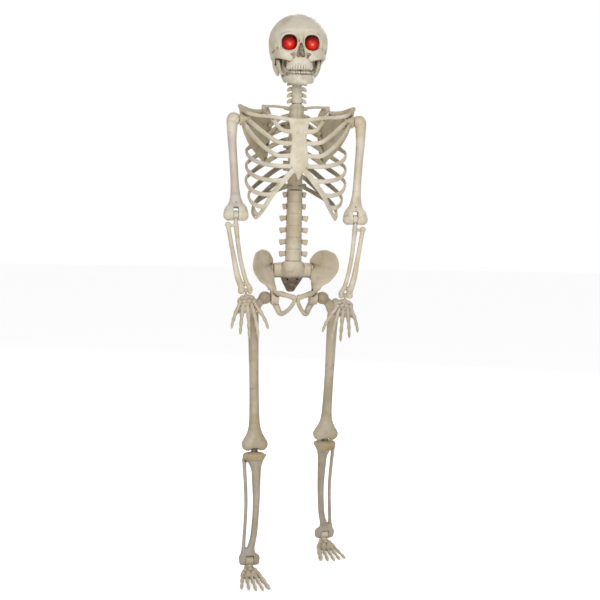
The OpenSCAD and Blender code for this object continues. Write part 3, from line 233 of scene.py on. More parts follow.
def tube(rows, up=(0, 1, 0), sides=20, count=40, square=2.0, bow=0.0, ahead=None, bulge=0.5):
    """Oval profile carried along a smooth path through rows of x, y, z, half width and half depth.

    The depth lies along `up`. A profile of power `square` goes from oval to box, `bow` bends it towards
    `up` at its two edges, and `ahead` keeps every profile square to one way. Each end swells by `bulge`."""
    rows = through(rows, count)
    way = np.gradient(rows[:, :3], axis=0) if ahead is None else np.tile(np.array(ahead, float), (count, 1))
    way /= np.linalg.norm(way, axis=1, keepdims=True)
    across = np.cross(way, up)
    across /= np.linalg.norm(across, axis=1, keepdims=True)
    along = np.cross(across, way)
    turn = np.linspace(0, 2 * np.pi, sides, endpoint=False)
    c = np.sign(np.cos(turn)) * np.abs(np.cos(turn)) ** (2 / square)
    s = np.sign(np.sin(turn)) * np.abs(np.sin(turn)) ** (2 / square)
    swell = np.radians((75, 50, 25))
    reach = np.concatenate([np.sin(swell), np.zeros(count), np.sin(swell[::-1])])
    scale = np.concatenate([np.cos(swell), np.ones(count), np.cos(swell[::-1])])[:, None]
    ring = np.concatenate([[0] * 3, np.arange(count), [count - 1] * 3]).astype(int)
    sign = np.concatenate([-np.ones(3), np.ones(count + 3)])
    ends = sign * reach * bulge * np.minimum(rows[ring, 3], rows[ring, 4])
    wide = rows[ring, 3:4] * scale * c
    deep = rows[ring, 4:5] * scale * s + bow * rows[ring, 3:4] * (scale * c) ** 2
    mid = rows[ring, :3] + way[ring] * ends[:, None]
    return mid[:, None] + across[ring, None] * wide[..., None] + along[ring, None] * deep[..., None]


def ball(at, radii, sides=24):
    """Ellipsoid about `at`: rings of latitude, each a circle of longitude, stretched by the three radii."""
    lat = np.linspace(-np.pi / 2, np.pi / 2, sides // 2 + 2)[1:-1, None]
    lon = np.linspace(0, 2 * np.pi, sides, endpoint=False)[None]
    level = np.cos(lat)
    unit = np.stack(np.broadcast_arrays(level * np.cos(lon), level * np.sin(lon), np.sin(lat)), -1)
    return np.array(at) + unit * radii


def rod(r, x0, x1, y=0.0, z=0.0):
    """Straight cylinder along X, for bosses and for the bores of the pins: a row of equal circles."""
    turn = np.linspace(0, 2 * np.pi, 28, endpoint=False)
    x = np.linspace(x0, x1, 6)[:, None]
    return np.stack(np.broadcast_arrays(x, y + r * np.cos(turn), z + r * np.sin(turn)), -1)


def block(low, high):
    """Box between two corners, as two rings of four."""
    (x0, y0, z0), (x1, y1, z1) = low, high
    ring = [(x0, y0), (x1, y0), (x1, y1), (x0, y1)]
    return np.array([[(x, y, z) for x, y in ring] for z in (z0, z1)], float)


def both(*grids):
    """The given grids and their mirror images on the other side of the body."""
    return [g * m for g in grids for m in ((1, 1, 1), (-1, 1, 1))]


def skin(grids):
    """Vertices and triangles of closed skins: rings joined in turn, with a point at each end, facing out."""
    points, faces, first = [], [], 0
    for grid in grids:
        rings, sides = grid.shape[:2]
        ids = np.arange(rings * sides).reshape(rings, sides)
        after = np.roll(ids, -1, axis=1)
        tips = np.full(sides, rings * sides), np.full(sides, rings * sides + 1)
        tri = np.concatenate([
            np.stack([ids[:-1], after[:-1], after[1:]], -1).reshape(-1, 3),
            np.stack([ids[:-1], after[1:], ids[1:]], -1).reshape(-1, 3),
            np.stack([tips[0], after[0], ids[0]], -1), np.stack([tips[1], ids[-1], after[-1]], -1)])
        co = np.concatenate([grid.reshape(-1, 3), grid[[0, -1]].mean(axis=1)])
        a, b, c = (co[tri[:, k]] - co.mean(axis=0) for k in range(3))
        faces.append((tri if np.einsum("ij,ij", a, np.cross(b, c)) > 0 else tri[:, ::-1]) + first)
        points.append(co)
        first += len(co)
    return np.concatenate(points), np.concatenate(faces)


def mesh_object(name, points, faces):
    """Object of triangles at the origin, from millimetres."""
    made = bpy.data.objects.new(name, bpy.data.meshes.new(name))
    made.data.from_pydata((points * mm).tolist(), [], faces.tolist())
    scene.collection.objects.link(made)
    return made


def hollows(mesh, reach):
    """Depth of each vertex below its neighbourhood, in mm: the surface is relaxed `reach` times towards the
    mean of its neighbours, and the way it moved is measured along the normal. Ridges come out negative."""
    count = len(mesh.vertices)
    co = np.empty(count * 3)
    mesh.vertices.foreach_get("co", co)
    co = co.reshape(-1, 3)
    normal = np.empty(count * 3)
    mesh.vertex_normals.foreach_get("vector", normal)
    edges = np.empty(len(mesh.edges) * 2, int)
    mesh.edges.foreach_get("vertices", edges)
    a, b = edges.reshape(-1, 2).T
    weight = np.bincount(edges, minlength=count)
    calm = co.copy()
    for _ in range(reach):
        total = [np.bincount(a, calm[b, k], count) + np.bincount(b, calm[a, k], count) for k in range(3)]
        calm = 0.5 * calm + 0.5 * np.stack(total, axis=1) / weight[:, None]
    return ((calm - co) * normal.reshape(-1, 3)).sum(axis=1) / mm


def band(value, middle, width):
    """Soft band: one at the middle, falling off on both sides as a bell curve of the given width."""
    return np.exp(-((value - middle) / width) ** 2)


def rise(value, start, end):
    """Straight rise from zero at the start to one at the end, level outside them."""
    return np.clip((value - start) / (end - start), 0, 1)


def moulding(name, body, grids, place, voxel, cuts=(), within=None, soften=5, blend=0, reach=40,
             extra=(), wash=None, soot=None):
    """One moulded piece: closed skins melted together on a voxel grid, blended, cut and rounded.

    `place` is the piece's origin and its three axes, `within` a box outside which nothing is kept, and
    `extra` holds skins that stay sharp, such as teeth. The last two arguments give, for points in the piece's
    own millimetres, the wash that was brushed on besides that in the hollows, which in the slots of the
    joints and in the mouth is painted shade, and the share of dark coat, which on the back of the rib cage is
    painted shade."""
    origin, axes = place
    points, faces = skin(grids)
    piece = mesh_object(name + "_moulding", points @ axes + origin, faces)
    tools = []

    def melt(owner):
        step = owner.modifiers.new("melt", "REMESH")
        step.mode = "VOXEL"
        step.voxel_size = voxel * mm

    def shape_by(tool_grids, operation):
        points, faces = skin(tool_grids)
        tools.append(mesh_object(name + "_tool", points @ axes + origin, faces))
        step = piece.modifiers.new(operation, "BOOLEAN")
        step.operation = operation
        step.solver = "MANIFOLD"
        step.object = tools[-1]

    def relax(times):
        step = piece.modifiers.new("rounding", "SMOOTH")
        step.iterations = times

    melt(piece)
    relax(blend)
    if within is not None:
        shape_by([within], "INTERSECT")
    if len(cuts):
        shape_by(cuts, "DIFFERENCE")
        melt(tools[-1])
    if tools:
        melt(piece)
    relax(soften)
    mesh = bpy.data.meshes.new_from_object(piece.evaluated_get(bpy.context.evaluated_depsgraph_get()))
    piece.modifiers.clear()
    piece.data = mesh
    mesh.name = piece.name
    for tool in tools:
        bpy.data.objects.remove(tool)
    deep = hollows(mesh, reach)
    if len(extra):
        points, faces = skin(extra)
        added = mesh_object(name + "_extra", points @ axes + origin, faces)
        deep = np.concatenate([deep, np.zeros(len(points))])
        with bpy.context.temp_override(active_object=piece, selected_editable_objects=[piece, added]):
            bpy.ops.object.join()
    mesh.shade_smooth()
    co = np.empty(len(mesh.vertices) * 3)
    mesh.vertices.foreach_get("co", co)
    own = (co.reshape(-1, 3) / mm - origin) @ axes.T
    # Brushed wash, with painted shade in the slots of the joints and in the mouth, is added to the depth of
    # the hollows
    deep = deep + (0 if wash is None else wash(own))
    # Share of the dark coat: a second coat of paint, and painted shade on the back of the rib cage
    dark = np.zeros(len(own)) if soot is None else soot(own)
    for label, values in (("hollow", deep), ("soot", dark)):
        mesh.attributes.new(label, "FLOAT", "POINT").data.foreach_set("value", values.astype(np.float32))
    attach(piece, body)
    return piece


def finish(piece, slot, material, *nodes):
    """Gives a piece its finish and hides the nodes of the frame that it stands for."""
    piece.data.materials.clear()
    piece.data.materials.append(material)
    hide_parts(*nodes)


head = (joint_at["head_swivel"], np.eye(3))
eye = np.array((30.5, -64.4, 90.0))
face_seam = -18.0
crown_rows = [
    (0, 12, 30, 58, 42), (0, 9, 44, 69.5, 52), (0, 3.4, 59, 76, 65), (0, -5, 78, 80, 79),
    (0, -8.4, 99, 81, 84), (0, -7.6, 115, 78.5, 82.5), (0, -6, 131, 72, 77), (0, -5, 148, 59.5, 62),
    (0, -4.4, 160, 45, 45), (0, -4.4, 169, 27, 25), (0, -4.4, 173.6, 6, 6)
]
crown = tube(crown_rows, ahead=(0, 0, 1), sides=72, count=60, bulge=0.05)
skull_base = tube([(0, 6, 4, 30, 24), (0, 8, 13, 42, 30), (0, 9, 30, 54, 40), (0, 8, 54, 62, 48)],
                  ahead=(0, 0, 1), sides=40)
upper_jaw = tube([
    (0, -58, 27, 33, 33), (0, -58, 35, 34.5, 35), (0, -56, 46, 35.5, 36.5), (0, -54, 58, 39, 37),
    (0, -50, 70, 49, 39), (0, -50, 88, 57, 41), (0, -46, 106, 61, 46), (0, -42, 120, 58, 42)
], ahead=(0, 0, 1), sides=48, square=2.3)
orbit_rim = tube([
    (6, -84, 104, 3, 5), (17, -86, 112, 3.5, 6), (33, -83.5, 114.5, 3.5, 6), (47, -75.5, 109.5, 3.5, 6),
    (55, -65, 99, 3.5, 6.5), (57, -61, 86, 3.5, 7), (53, -66, 72, 4, 7), (42, -75, 65.5, 4, 7),
    (29, -82.5, 65, 4, 6), (17, -86, 69.5, 3, 5), (10.5, -87, 79, 2.6, 4), (8, -86, 92, 2.6, 4),
    (6, -84, 104, 3, 5)
], up=(0, 1, 0.2), sides=14, count=90)
brow = tube([
    (-58, -48, 104, 8, 14), (-46, -63.5, 114, 9, 14), (-24, -75, 119, 10, 14), (0, -79, 116, 10, 14),
    (24, -75, 119, 10, 14), (46, -63.5, 114, 9, 14), (58, -48, 104, 8, 14)
], up=(0, 0, 1), sides=24, count=60)
nose_bridge = tube([(0, -90, 108, 10, 6), (0, -94, 100, 6.5, 5), (0, -98, 92, 5, 4.5), (0, -102, 86, 3.5, 3)],
                   sides=16)
cheek_bone = tube([
    (12, -82, 47, 5, 9), (30, -80, 53, 7, 12), (47, -73, 60, 8, 15), (59, -58, 62, 7, 14),
    (66, -42, 58, 5, 9), (70, -28, 56, 4, 7.5), (71, -4, 56, 4, 7), (67, 14, 58, 5, 8)
], up=(0, 0, 1), sides=18, count=60)
ear_bump = tube([(58, 22, 54, 10, 14), (58, 25, 39, 10, 13), (55, 25, 22, 8, 10), (51, 24, 9, 4.5, 5)],
                sides=18)
nose_half = np.array([(0, 90), (4.5, 85), (7.5, 77), (10.5, 67), (13, 57), (11, 51.5), (5, 50.5), (0, 53)])
nose_outline = np.concatenate([nose_half, nose_half[-2::-1] * (-1, 1)])
nose_depth = np.interp(nose_outline[:, 1], (50, 60, 89), (-92, -94.5, -101))
nose_lip = np.full(nose_outline.shape, 2.3)
nose_rows = np.column_stack([nose_outline[:, 0], nose_depth, nose_outline[:, 1], nose_lip])
nose_rim = tube(nose_rows, up=(0, 1, 0), sides=12, count=80)
nose_edge = through(nose_outline * (0.92, 1), 60)[:-1]
nose_hole = np.stack([np.insert(nose_edge, 1, y, axis=1) for y in (-130.0, -82.0)])
septum = tube([(0, -78, 48, 1.3, 8), (0, -81, 66, 1.1, 6), (0, -82, 84, 1.0, 5)], sides=12)
tooth_arc = np.array((34.0, 38.0))
arc_middle = -53.4


def teeth(root, edge, arc, count=14, spread=78.0):
    """Row of teeth on an elliptic arc: each is a rounded box, broad at its edge and narrow at its root."""
    made = []
    wide = 0.41 * np.radians(2 * spread) * arc.mean() / count
    for a in np.radians(np.linspace(-spread, spread, count)):
        turn = np.array(((np.cos(a), np.sin(a), 0), (-np.sin(a), np.cos(a), 0), (0, 0, 1)))
        rows = [(0, 0.6, root, 0.8 * wide, 3.2), (0, 0, (root + edge) / 2, wide, 3.6),
                (0, 0, edge, 0.95 * wide, 2)]
        peg = tube(rows, ahead=(0, 0, np.sign(edge - root)), sides=14, count=8, square=3.2, bulge=0.35)
        made.append(peg @ turn + (arc[0] * np.sin(a), arc_middle - arc[1] * np.cos(a), 0))
    return made


socket = tube([
    (eye[0], eye[1], eye[2], 20, 20), (eye[0], -80, eye[2], 20.8, 20.3),
    (eye[0] + 2, -98, eye[2] + 1, 22.5, 21.5), (eye[0] + 5, -130, eye[2] + 1, 27, 24)
], up=(0, 0, 1), sides=40, count=24, square=2.5, bulge=0.1)
jaw_pockets = [block((49.5, -29, -60), (62.5, 15, 70)), block((43.5, -41, -60), (62.5, 15, 52))]
palate = tube([(0, -50, -20, 21, 34), (0, -50, 30, 20, 32)], ahead=(0, 0, 1), sides=32)


def blobs(rows):
    """Brushed-on wash: soft spots of x, z, radius and strength on the front, alike on both sides."""
    def wash(at):
        away = [np.hypot(np.abs(at[:, 0]) - x, at[:, 2] - z) for x, z, _, _ in rows]
        spots = [strength * band(d, 0, r) for d, (_, _, r, strength) in zip(away, rows)]
        return np.sum(spots, axis=0) * (at[:, 1] < -30)
    return wash


brushed = blobs([
    (22, 58, 12, 0.06), (32, 49, 12, 0.08), (40, 42, 10, 0.20), (0, 60, 9, 0.5), (30, 90, 20, 0.5),
    (8, 96, 8, 0.35), (58, 90, 12, 0.3), (30, 120, 15, -0.9), (0, 118, 14, -0.6), (58, 78, 15, -0.9),
    (60, 96, 10, -0.6)
])


def face_wash(at):
    """Brown brushed into the hollows of the face and along the gums, and painted shade, dark, inside the
    mouth and in the gaps behind the cheeks.
    """
    x, y, z = np.abs(at[:, 0]), at[:, 1], at[:, 2]
    # Painted shade deep in the face and inside the row of teeth; the gum band is brown wash
    inside = rise(y, -66, -56) * rise(z, 50, 44) * rise(x, 50, 46)
    arc = np.hypot(x / tooth_arc[0], (y - arc_middle) / tooth_arc[1])
    mouth = rise(arc, 1.02, 0.94) * rise(z, 34, 31)
    gum = band(z, 32, 4) * rise(arc, 1.06, 1.03) * (y < -50)
    return brushed(at) + 1.2 * np.maximum(inside, mouth) + 0.8 * gum


temple = ball((58, -46, 84), (14, 15, 17))
skull_skins = [crown, skull_base, upper_jaw, brow, nose_bridge, nose_rim]
skull_skins += both(orbit_rim, cheek_bone, ear_bump, temple)
skull_cuts = [nose_hole, palate] + both(socket, *jaw_pockets)
skull_face = moulding("skull_face", "skull", skull_skins, head, 1.4, soften=4, blend=14, reach=80,
                      cuts=skull_cuts, within=block((-95, -130, -5), (95, face_seam, 185)),
                      extra=teeth(33.0, 19.5, tooth_arc) + [septum], wash=face_wash)
finish(skull_face, "bone_plastic", bone_vinyl, "skull_face")

# Back shell of the skull: it carries the battery bay behind a rectangular door, the switch slot above
# the door and the slot in the crown for the hang tab. Its seam meets the face shell all round.
door_half = np.array((35.25, 18.5))
door_z = 100.0
door_gap = 0.7
door_y = 55.0
switch_z = 131.5
door_well = block((-door_half[0] - door_gap, door_y, door_z - door_half[1] - door_gap),
                  (door_half[0] + door_gap, 90, door_z + door_half[1] + door_gap))
switch_slot = block((-6.6, 40, switch_z - 2.1), (2.6, 90, switch_z + 2.1))
tab_slot = block((-3, 18.4, 150), (3, 31.6, 200))
skull_back = moulding("skull_back", "skull", skull_skins, head, 1.4, soften=4, blend=14, reach=80,
                      cuts=skull_cuts + [door_well, switch_slot, tab_slot],
                      within=block((-95, face_seam + 0.3, -5), (95, 95, 185)))
finish(skull_back, "bone_plastic", bone_vinyl, "skull_back")

# Eyes: two clear red domes pressed into the sockets from the front, each lit from behind by one lamp, so
# that a hot spot shows low in the middle and the upper edge falls to dark red.
lens_r = 20.2
lens_tip = 24.0
dome_r = 1.3 * lens_r
spot = np.array((0.5, -5.0))


def lens(side):
    """Dome turned about the line of sight: the radius runs from tip to rim, then back along the rim wall."""
    dome = np.linspace(0.02, 1, 30) * (lens_r - 0.5)
    r = np.concatenate([dome, [lens_r, lens_r, lens_r - 3]])
    out = np.concatenate([lens_tip - dome_r + np.sqrt(dome_r ** 2 - dome ** 2), [5.0, 0.4, 0.4]])
    turn = np.linspace(0, 2 * np.pi, 64, endpoint=False)
    x, z = r[:, None] * np.cos(turn), r[:, None] * np.sin(turn)
    return np.stack([side * eye[0] + x, np.broadcast_to(eye[1] - out[:, None], x.shape), eye[2] + z], -1)


def lit_lens(name):
    """Clear red styrene lit from behind: near white at the spot, orange red round it, dark at the rim."""
    material, tree, shader = new_material(name)
    away = add(tree, "Attribute", attribute_name="away").outputs["Fac"]
    ramp = add(tree, "ValToRGB", {0: away})
    stops = [(0.0, "#ffd9c4"), (0.10, "#ff8a66"), (0.22, "#ef2a12"), (0.45, "#cb150b"), (0.72, "#8a0f0a"),
             (1.0, "#3a0906")]
    for place, _ in stops[1:-1]:
        ramp.color_ramp.elements.new(place)
    for element, (place, code) in zip(ramp.color_ramp.elements, stops):
        element.position = place
        element.color = linear(code)
    tree.links.new(ramp.outputs[0], shader.inputs["Emission Color"])
    shader.inputs["Emission Strength"].default_value = 0.95
    shader.inputs["Base Color"].default_value = linear("#2a0504")
    shader.inputs["Specular IOR Level"].default_value = 0.10
    shader.inputs["Roughness"].default_value = 0.30
    shader.inputs["IOR"].default_value = 1.59
    return material


points, faces = skin([lens(1), lens(-1)])
eyes = mesh_object("eye_domes", points + head[0], faces)
across = np.abs(points[:, 0]) - eye[0]
across *= np.sign(points[:, 0])
height = points[:, 2] - eye[2]
away = np.hypot(across - spot[0], height - spot[1]) / (lens_r + 2) + 0.10 * rise(height, 0, lens_r)
eyes.data.shade_smooth()
eyes.data.attributes.new("away", "FLOAT", "POINT").data.foreach_set("value", away.astype(np.float32))
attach(eyes, "skull")
finish(eyes, "red_lens", lit_lens("lit red styrene"), "eye_lenses")

# Jaw: one solid moulding with a branch up each side, hung on two pins in pockets behind the cheeks. Its
# teeth stand on the same arc as the upper row, a little inside it.
branch = tube([
    (56, -8, 63, 2.5, 3), (56, -8, 58, 4.6, 6), (56, -8.5, 48, 4.8, 8), (53.5, -16, 31, 4.0, 12),
    (44, -25, 9, 4.4, 13), (38.5, -30, -5, 5, 10), (36, -34, -11, 4, 6.5)
], sides=20)
branch_spur = tube([(48, -25, 18, 4, 8), (52.5, -28, 34, 3.4, 6), (54, -29, 46, 2.2, 3.5)], sides=14)
sweep = np.radians(np.arange(-70, 71, 20))
jaw_body = tube(np.concatenate([
    [(-41, -25, 5, 5, 11)],
    np.column_stack([35 * np.sin(sweep), -48.4 - 43 * np.cos(sweep), -2 - 6 * np.cos(sweep),
                     np.full(len(sweep), 6), 10 + 3.5 * np.cos(sweep)]),
    [(41, -25, 5, 5, 11)]
]), up=(0, 0, 1), sides=20, count=70, square=2.4)
chin = [ball((0, -91, -11), (21, 7.5, 10))] + both(ball((13, -90, -17), (8, 6, 5)))
jaw_brushed = blobs([(34, 8, 9, 0.5), (17, -14, 8, 0.35), (0, -6, 10, 0.2)])
# Behind the front of the chin, a band at the roots of the lower teeth is darkened: brown wash, and painted
# shade inside the mouth.
jaw = moulding("mandible", "jaw", [jaw_body] + chin + both(branch, branch_spur), head, 1.1, blend=8, reach=60,
               cuts=both(rod(2.1, 40, 70, -8, 56)), extra=teeth(0.0, 13.0, tooth_arc - (0.5, 1.5)),
               wash=lambda at: jaw_brushed(at) + 0.9 * band(at[:, 2], 4, 4) * rise(at[:, 1], -96, -94.5))
finish(jaw, "bone_plastic", bone_vinyl, "mandible")

# Neck: a column moulded in one with the collar, with four vertebrae marked by rings, drooping side wings
# and a spine at the back of each. The skull turns on its post.
torso_len, neck_len, neck_bones = 229.0, 74.0, 4
collar = (joint_at["waist"] + (0, 0, torso_len), np.eye(3))
neck_pitch = neck_len / (neck_bones + 0.6)
z = np.linspace(0, neck_len - 0.8, 90)
r = 14.6 - 1.0 * np.cos(2 * np.pi * (z / neck_pitch - 0.4)) + 4.5 * np.clip(1 - z / 5, 0, 1)


def column(z, r, sides):
    """Upright round column whose radius r is given at every height z."""
    rows = np.column_stack([0 * z, 0 * z, z, r, r])
    return tube(rows, ahead=(0, 0, 1), sides=sides, count=len(z), bulge=0.02)


neck_skins = [column(z, r, 36)]
for level_z in neck_pitch * (np.arange(neck_bones) + 0.9):
    wing = tube([(6, 4, level_z, 5.5, 5), (16, 4, level_z - 0.5, 6, 4.6), (22, 5, level_z - 2, 6, 4.4),
                 (26, 6, level_z - 4.5, 4.4, 3.2)], up=(0, 1, 0), ahead=(1, 0, 0), sides=18, count=20)
    spine = tube([(0, 8, level_z, 4.5, 3.6), (0, 18, level_z - 3, 4, 3), (0, 26, level_z - 8, 3.4, 3)],
                 up=(1, 0, 0), sides=14, count=20)
    neck_skins += both(wing) + [spine]
neck = moulding("neck", "torso", neck_skins, collar, 1.1)
finish(neck, "bone_plastic", bone_vinyl, "neck")

# Rib cage front: one thin moulding of breastbone, collar bones and front ribs, paler than the back. The
# ribs sweep down to a rim that arches away from the end of the breastbone.
torso = (joint_at["waist"], np.eye(3))
half_w, chest_front, chest_back, cage_seam = 140.0, -107.0, 54.0, -34.0
shoulder = joint_at["left_shoulder"] - joint_at["waist"]
rib_t, rib_h = 3.5, 6.4
side_y = -16.0
column_r = 21.0
rim_rows = np.array([
    (0.07, 1, 0.26), (0.28, 4, 0.11), (0.49, 14, -0.055), (0.62, 26, -0.20), (0.72, 46, -0.30),
    (0.775, 62, -0.355)
])
rim = rim_rows * (half_w, 1, torso_len) + (0, chest_front, 0)
rib_ends = np.concatenate([[(0.10 * half_w, chest_front + 2, 0.28 * torso_len)], rim[1:5]])
rib_heights = np.array([(0.75, 0.44), (0.61, 0.27), (0.46, 0.10), (0.31, -0.08), (0.17, -0.22)]) * torso_len


def rib(rows, count=64):
    """Flat rib: an upright oval bar through rows of x, y, z, half thickness and half height."""
    return tube(rows, up=(0, 0, 1), sides=14, count=count, square=2.3)


def full_rib(heights, front):
    """Rib from the column back and out, round the side, then by a quarter turn down to its front end."""
    at_back, at_side = heights
    drop = at_back - at_side
    wide = half_w * (1 + 0.75 * min(at_side, 0) / torso_len) - rib_t
    turn = np.radians((0, 22.5, 45, 67.5, 90))
    behind = [
        (column_r - 6, 4, at_back, rib_t + 0.8, rib_h + 1),
        (0.36 * wide, chest_back - 8, at_back - 0.16 * drop, rib_t + 0.6, rib_h + 1),
        (0.70 * wide, chest_back - 2, at_back - 0.54 * drop, rib_t, rib_h + 0.8),
        (0.94 * wide, 20, at_back - 0.84 * drop, rib_t, rib_h)
    ]
    round_front = np.column_stack([
        front[0] + (wide - front[0]) * np.cos(turn), side_y + (front[1] - side_y) * np.sin(turn),
        at_side + (front[2] - at_side) * (np.sin(turn) + 0.12 * np.sin(2 * turn)),
        np.full(len(turn), rib_t), np.full(len(turn), rib_h)
    ])
    return rib(np.concatenate([behind, round_front]), 90)


def share(rows):
    """Rows whose first number is a share of the shoulder's width and third a share of the torso's length."""
    rows = np.array(rows, float)
    return rows * (shoulder[0], 1, torso_len, 1, 1)


chest_ribs = [full_rib(h, f) for h, f in zip(rib_heights, rib_ends)]
rim_half = np.array([(rib_t, 7), (rib_t, 8), (rib_t, 8), (rib_t, 7), (rib_t, 6), (2, 2.5)])
chest_ribs += [rib(np.column_stack([rim, rim_half]))]
chest_ribs += [rib([
    (column_r - 6, 4, 0.05 * torso_len, rib_t, rib_h),
    (0.42 * half_w, chest_back - 10, -0.04 * torso_len, rib_t, rib_h),
    (0.74 * half_w, chest_back - 22, -0.16 * torso_len, rib_t, rib_h),
    (0.83 * half_w, 0, -0.26 * torso_len, rib_t, rib_h),
    (0.80 * half_w, chest_front + 76, -0.33 * torso_len, rib_t, rib_h - 1), (*rim[5], 2, 2.5)
])]
upper_ribs = [
    rib(share([(0.13, chest_front + 15, 0.68, rib_t, rib_h), (0.29, chest_front + 20, 0.70, rib_t, rib_h),
               (0.42, chest_front + 42, 0.80, rib_t, rib_h), (0.485, -40, 0.86, rib_t, rib_h),
               (0.55, 0, 0.90, rib_t, rib_h), (0.575, 24, 0.92, rib_t, rib_h)])),
    rib(share([(0.13, chest_front + 10, 0.545, rib_t, rib_h), (0.37, chest_front + 14, 0.56, rib_t, rib_h),
               (0.60, chest_front + 38, 0.665, rib_t, rib_h + 0.5), (0.83, -32, 0.80, rib_t, rib_h + 0.5),
               (0.93, -12, 0.825, rib_t, rib_h)])),
    rib(share([(0.13, chest_front + 5, 0.40, rib_t, rib_h), (0.39, chest_front + 8, 0.405, rib_t, rib_h),
               (0.63, chest_front + 28, 0.52, rib_t, rib_h + 0.5), (0.79, -52, 0.64, rib_t, rib_h + 1),
               (0.92, -24, 0.77, rib_t + 1, rib_h + 1), (0.95, -12, 0.80, rib_t, rib_h)])),
]
collar_bone = tube(share([
    (0.05, chest_front + 21, 0.81, 5.5, 7), (0.20, chest_front + 24, 0.825, 4.8, 6),
    (0.42, chest_front + 36, 0.85, 4.4, 5.4), (0.66, -48, 0.865, 4.6, 5.6), (0.84, -34, 0.89, 5, 6),
    (0.95, -16, 0.94, 6, 7), (1.01, -8, 0.985, 4.5, 4.5)
]), up=(0, 0, 1), sides=18, count=60)
breastbone = tube([
    (0, chest_front + 22, 0.83 * torso_len, 12, 4), (0, chest_front + 21, 0.81 * torso_len, 27, 5),
    (0, chest_front + 17, 0.73 * torso_len, 25, 5), (0, chest_front + 10, 0.60 * torso_len, 20, 5),
    (0, chest_front + 4, 0.43 * torso_len, 24, 5), (0, chest_front, 0.31 * torso_len, 25, 5),
    (0, chest_front, 0.25 * torso_len, 17, 5), (0, chest_front + 2, 0.18 * torso_len, 8, 4),
    (0, chest_front + 4, 0.12 * torso_len, 2.5, 2.5)
], sides=28, count=70, square=2.6)
blade = tube(share([
    (0.52, chest_back + 2, 0.31, 5, 3), (0.55, chest_back - 2, 0.42, 20, 3.4),
    (0.62, chest_back - 14, 0.60, 42, 3.4), (0.67, chest_back - 24, 0.78, 54, 3.6),
    (0.68, chest_back - 27, 0.88, 50, 4), (0.70, chest_back - 27, 0.91, 40, 3)
]), up=(0.54, 0.84, 0), sides=32, count=50, square=2.2)
blade_ridge = tube(share([
    (0.56, chest_back - 24, 0.93, 5, 6), (0.78, chest_back - 44, 0.93, 5, 6), (0.94, -2, 0.965, 7, 6),
    (1.01, -12, 0.985, 5, 5)
]), up=(0, 0, 1), sides=16)
shoulder_cap = tube([
    (shoulder[0] - 3, -11, 0.995 * torso_len, 3, 4), (shoulder[0] - 5, -12, 0.96 * torso_len, 7, 8),
    (shoulder[0] - 9, -12, shoulder[2] + 8, 7, 10)
], sides=18)
blade_bar = tube([(14, 22, torso_len - 6, 4, 4), (60, 27, torso_len - 1, 4, 4),
                  (88, 28, torso_len - 3, 4, 4)], up=(0, 0, 1), sides=14)
blade_post = tube([(88, 28, torso_len + 1, 7, 4), (88, 28, 0.88 * torso_len, 7, 4)], sides=14)
upper_back_ribs = [rib([
    (column_r - 6, 4, (0.89 - 0.09 * k) * torso_len, rib_t, rib_h),
    (40, chest_back - 10, (0.86 - 0.09 * k) * torso_len, rib_t, rib_h),
    (72, chest_back - 12, (0.76 - 0.09 * k) * torso_len, rib_t, rib_h)
]) for k in range(2)]
cage_skins = [breastbone] + both(*chest_ribs, *upper_ribs, collar_bone, blade, blade_ridge, shoulder_cap)
chest = moulding("ribcage_front", "torso", cage_skins, torso, 1.5, soften=4,
                 within=block((-180, -130, -100), (180, cage_seam, 245)))
finish(chest, "bone_plastic", bone_vinyl, "ribcage_front")

# Rib cage back: the darker mouldings of spine, back ribs and shoulder blades, one for each side, glued on
# the middle plane. They take the waist post below and the shoulder pins at the sides.
# The same vinyl under a heavier wash and darkened as painted shade, so that the back of the cage falls behind
# its front
dark_vinyl = moulded_vinyl("brown washed vinyl", "#c0b59c", "#b0a487", "#aba091", "#4a3626", soot="#6c6350")


def back_soot(at):
    """Painted shade cast by the front of the cage, mixed with brown wash, as a dark coat on the lower back
    ribs, fading towards the column, the sides and the shoulder blades.
    """
    x, y, z = np.abs(at[:, 0]), at[:, 1], at[:, 2] / torso_len
    top = 0.34 + 0.5 * rise(x, 58, 38)
    return rise(x, 22, 36) * rise(x, 130, 106) * rise(z, top, top - 0.12) * rise(y, -16, 10)


z = np.linspace(0.5, torso_len, 160)
bones = 11
r = column_r - 1.0 + 1.0 * np.cos(2 * np.pi * bones * z / torso_len) + 4 * np.clip(1 - z / 12, 0, 1)
shoulder_boss = rod(18, shoulder[0] - 30, shoulder[0] - 0.5, shoulder[1], shoulder[2])
back_skins = [column(z, r, 40)] + both(
    *chest_ribs, *upper_ribs, *upper_back_ribs, collar_bone, blade, blade_ridge, shoulder_cap, blade_bar,
    blade_post, shoulder_boss)
for level_z in torso_len * (np.arange(bones) + 0.5) / bones:
    spine = tube([
        (0, 12, level_z + 3, 5, 3.4), (0, 24, level_z - 3, 4.5, 2.8), (0, 35, level_z - 13, 4, 2.6)
    ], up=(1, 0, 0), sides=14, count=20)
    knob = tube([(8, 12, level_z, 5, 5), (22, 17, level_z + 2, 4.5, 4.5), (31, 22, level_z + 3, 4, 4)],
                sides=14, count=20)
    back_skins += [spine] + both(knob)
body_sides = ((1, "left"), (-1, "right"))
for side, name in body_sides:
    back_half = moulding(name + "_ribcage_back", "torso", back_skins, torso, 1.5, soften=4,
                         cuts=[block((-22, -22, torso_len), (22, 22, 245))],
                         within=block((0, cage_seam, -100), (180, 70, 245)) * (side, 1, 1), soot=back_soot,
                         wash=lambda at: 2.5 * band(at[:, 2], 0, 3) * (np.hypot(at[:, 0], at[:, 1]) < 34))
    finish(back_half, "aged_plastic", dark_vinyl, name + "_ribcage_back")

# Lumbar spine: six vertebrae on one solid post with a faint ring seam between them, square side wings and
# flat spines behind. The rib cage turns on its top; from here down the figure is turned a little to its left.
pelvis_x = np.array(hinges["left_hip"]["axis"])
pelvis_x *= np.sign(pelvis_x[0])
pelvis = (joint_at["waist"], np.array((pelvis_x, np.cross((0, 0, 1), pelvis_x), (0, 0, 1))))
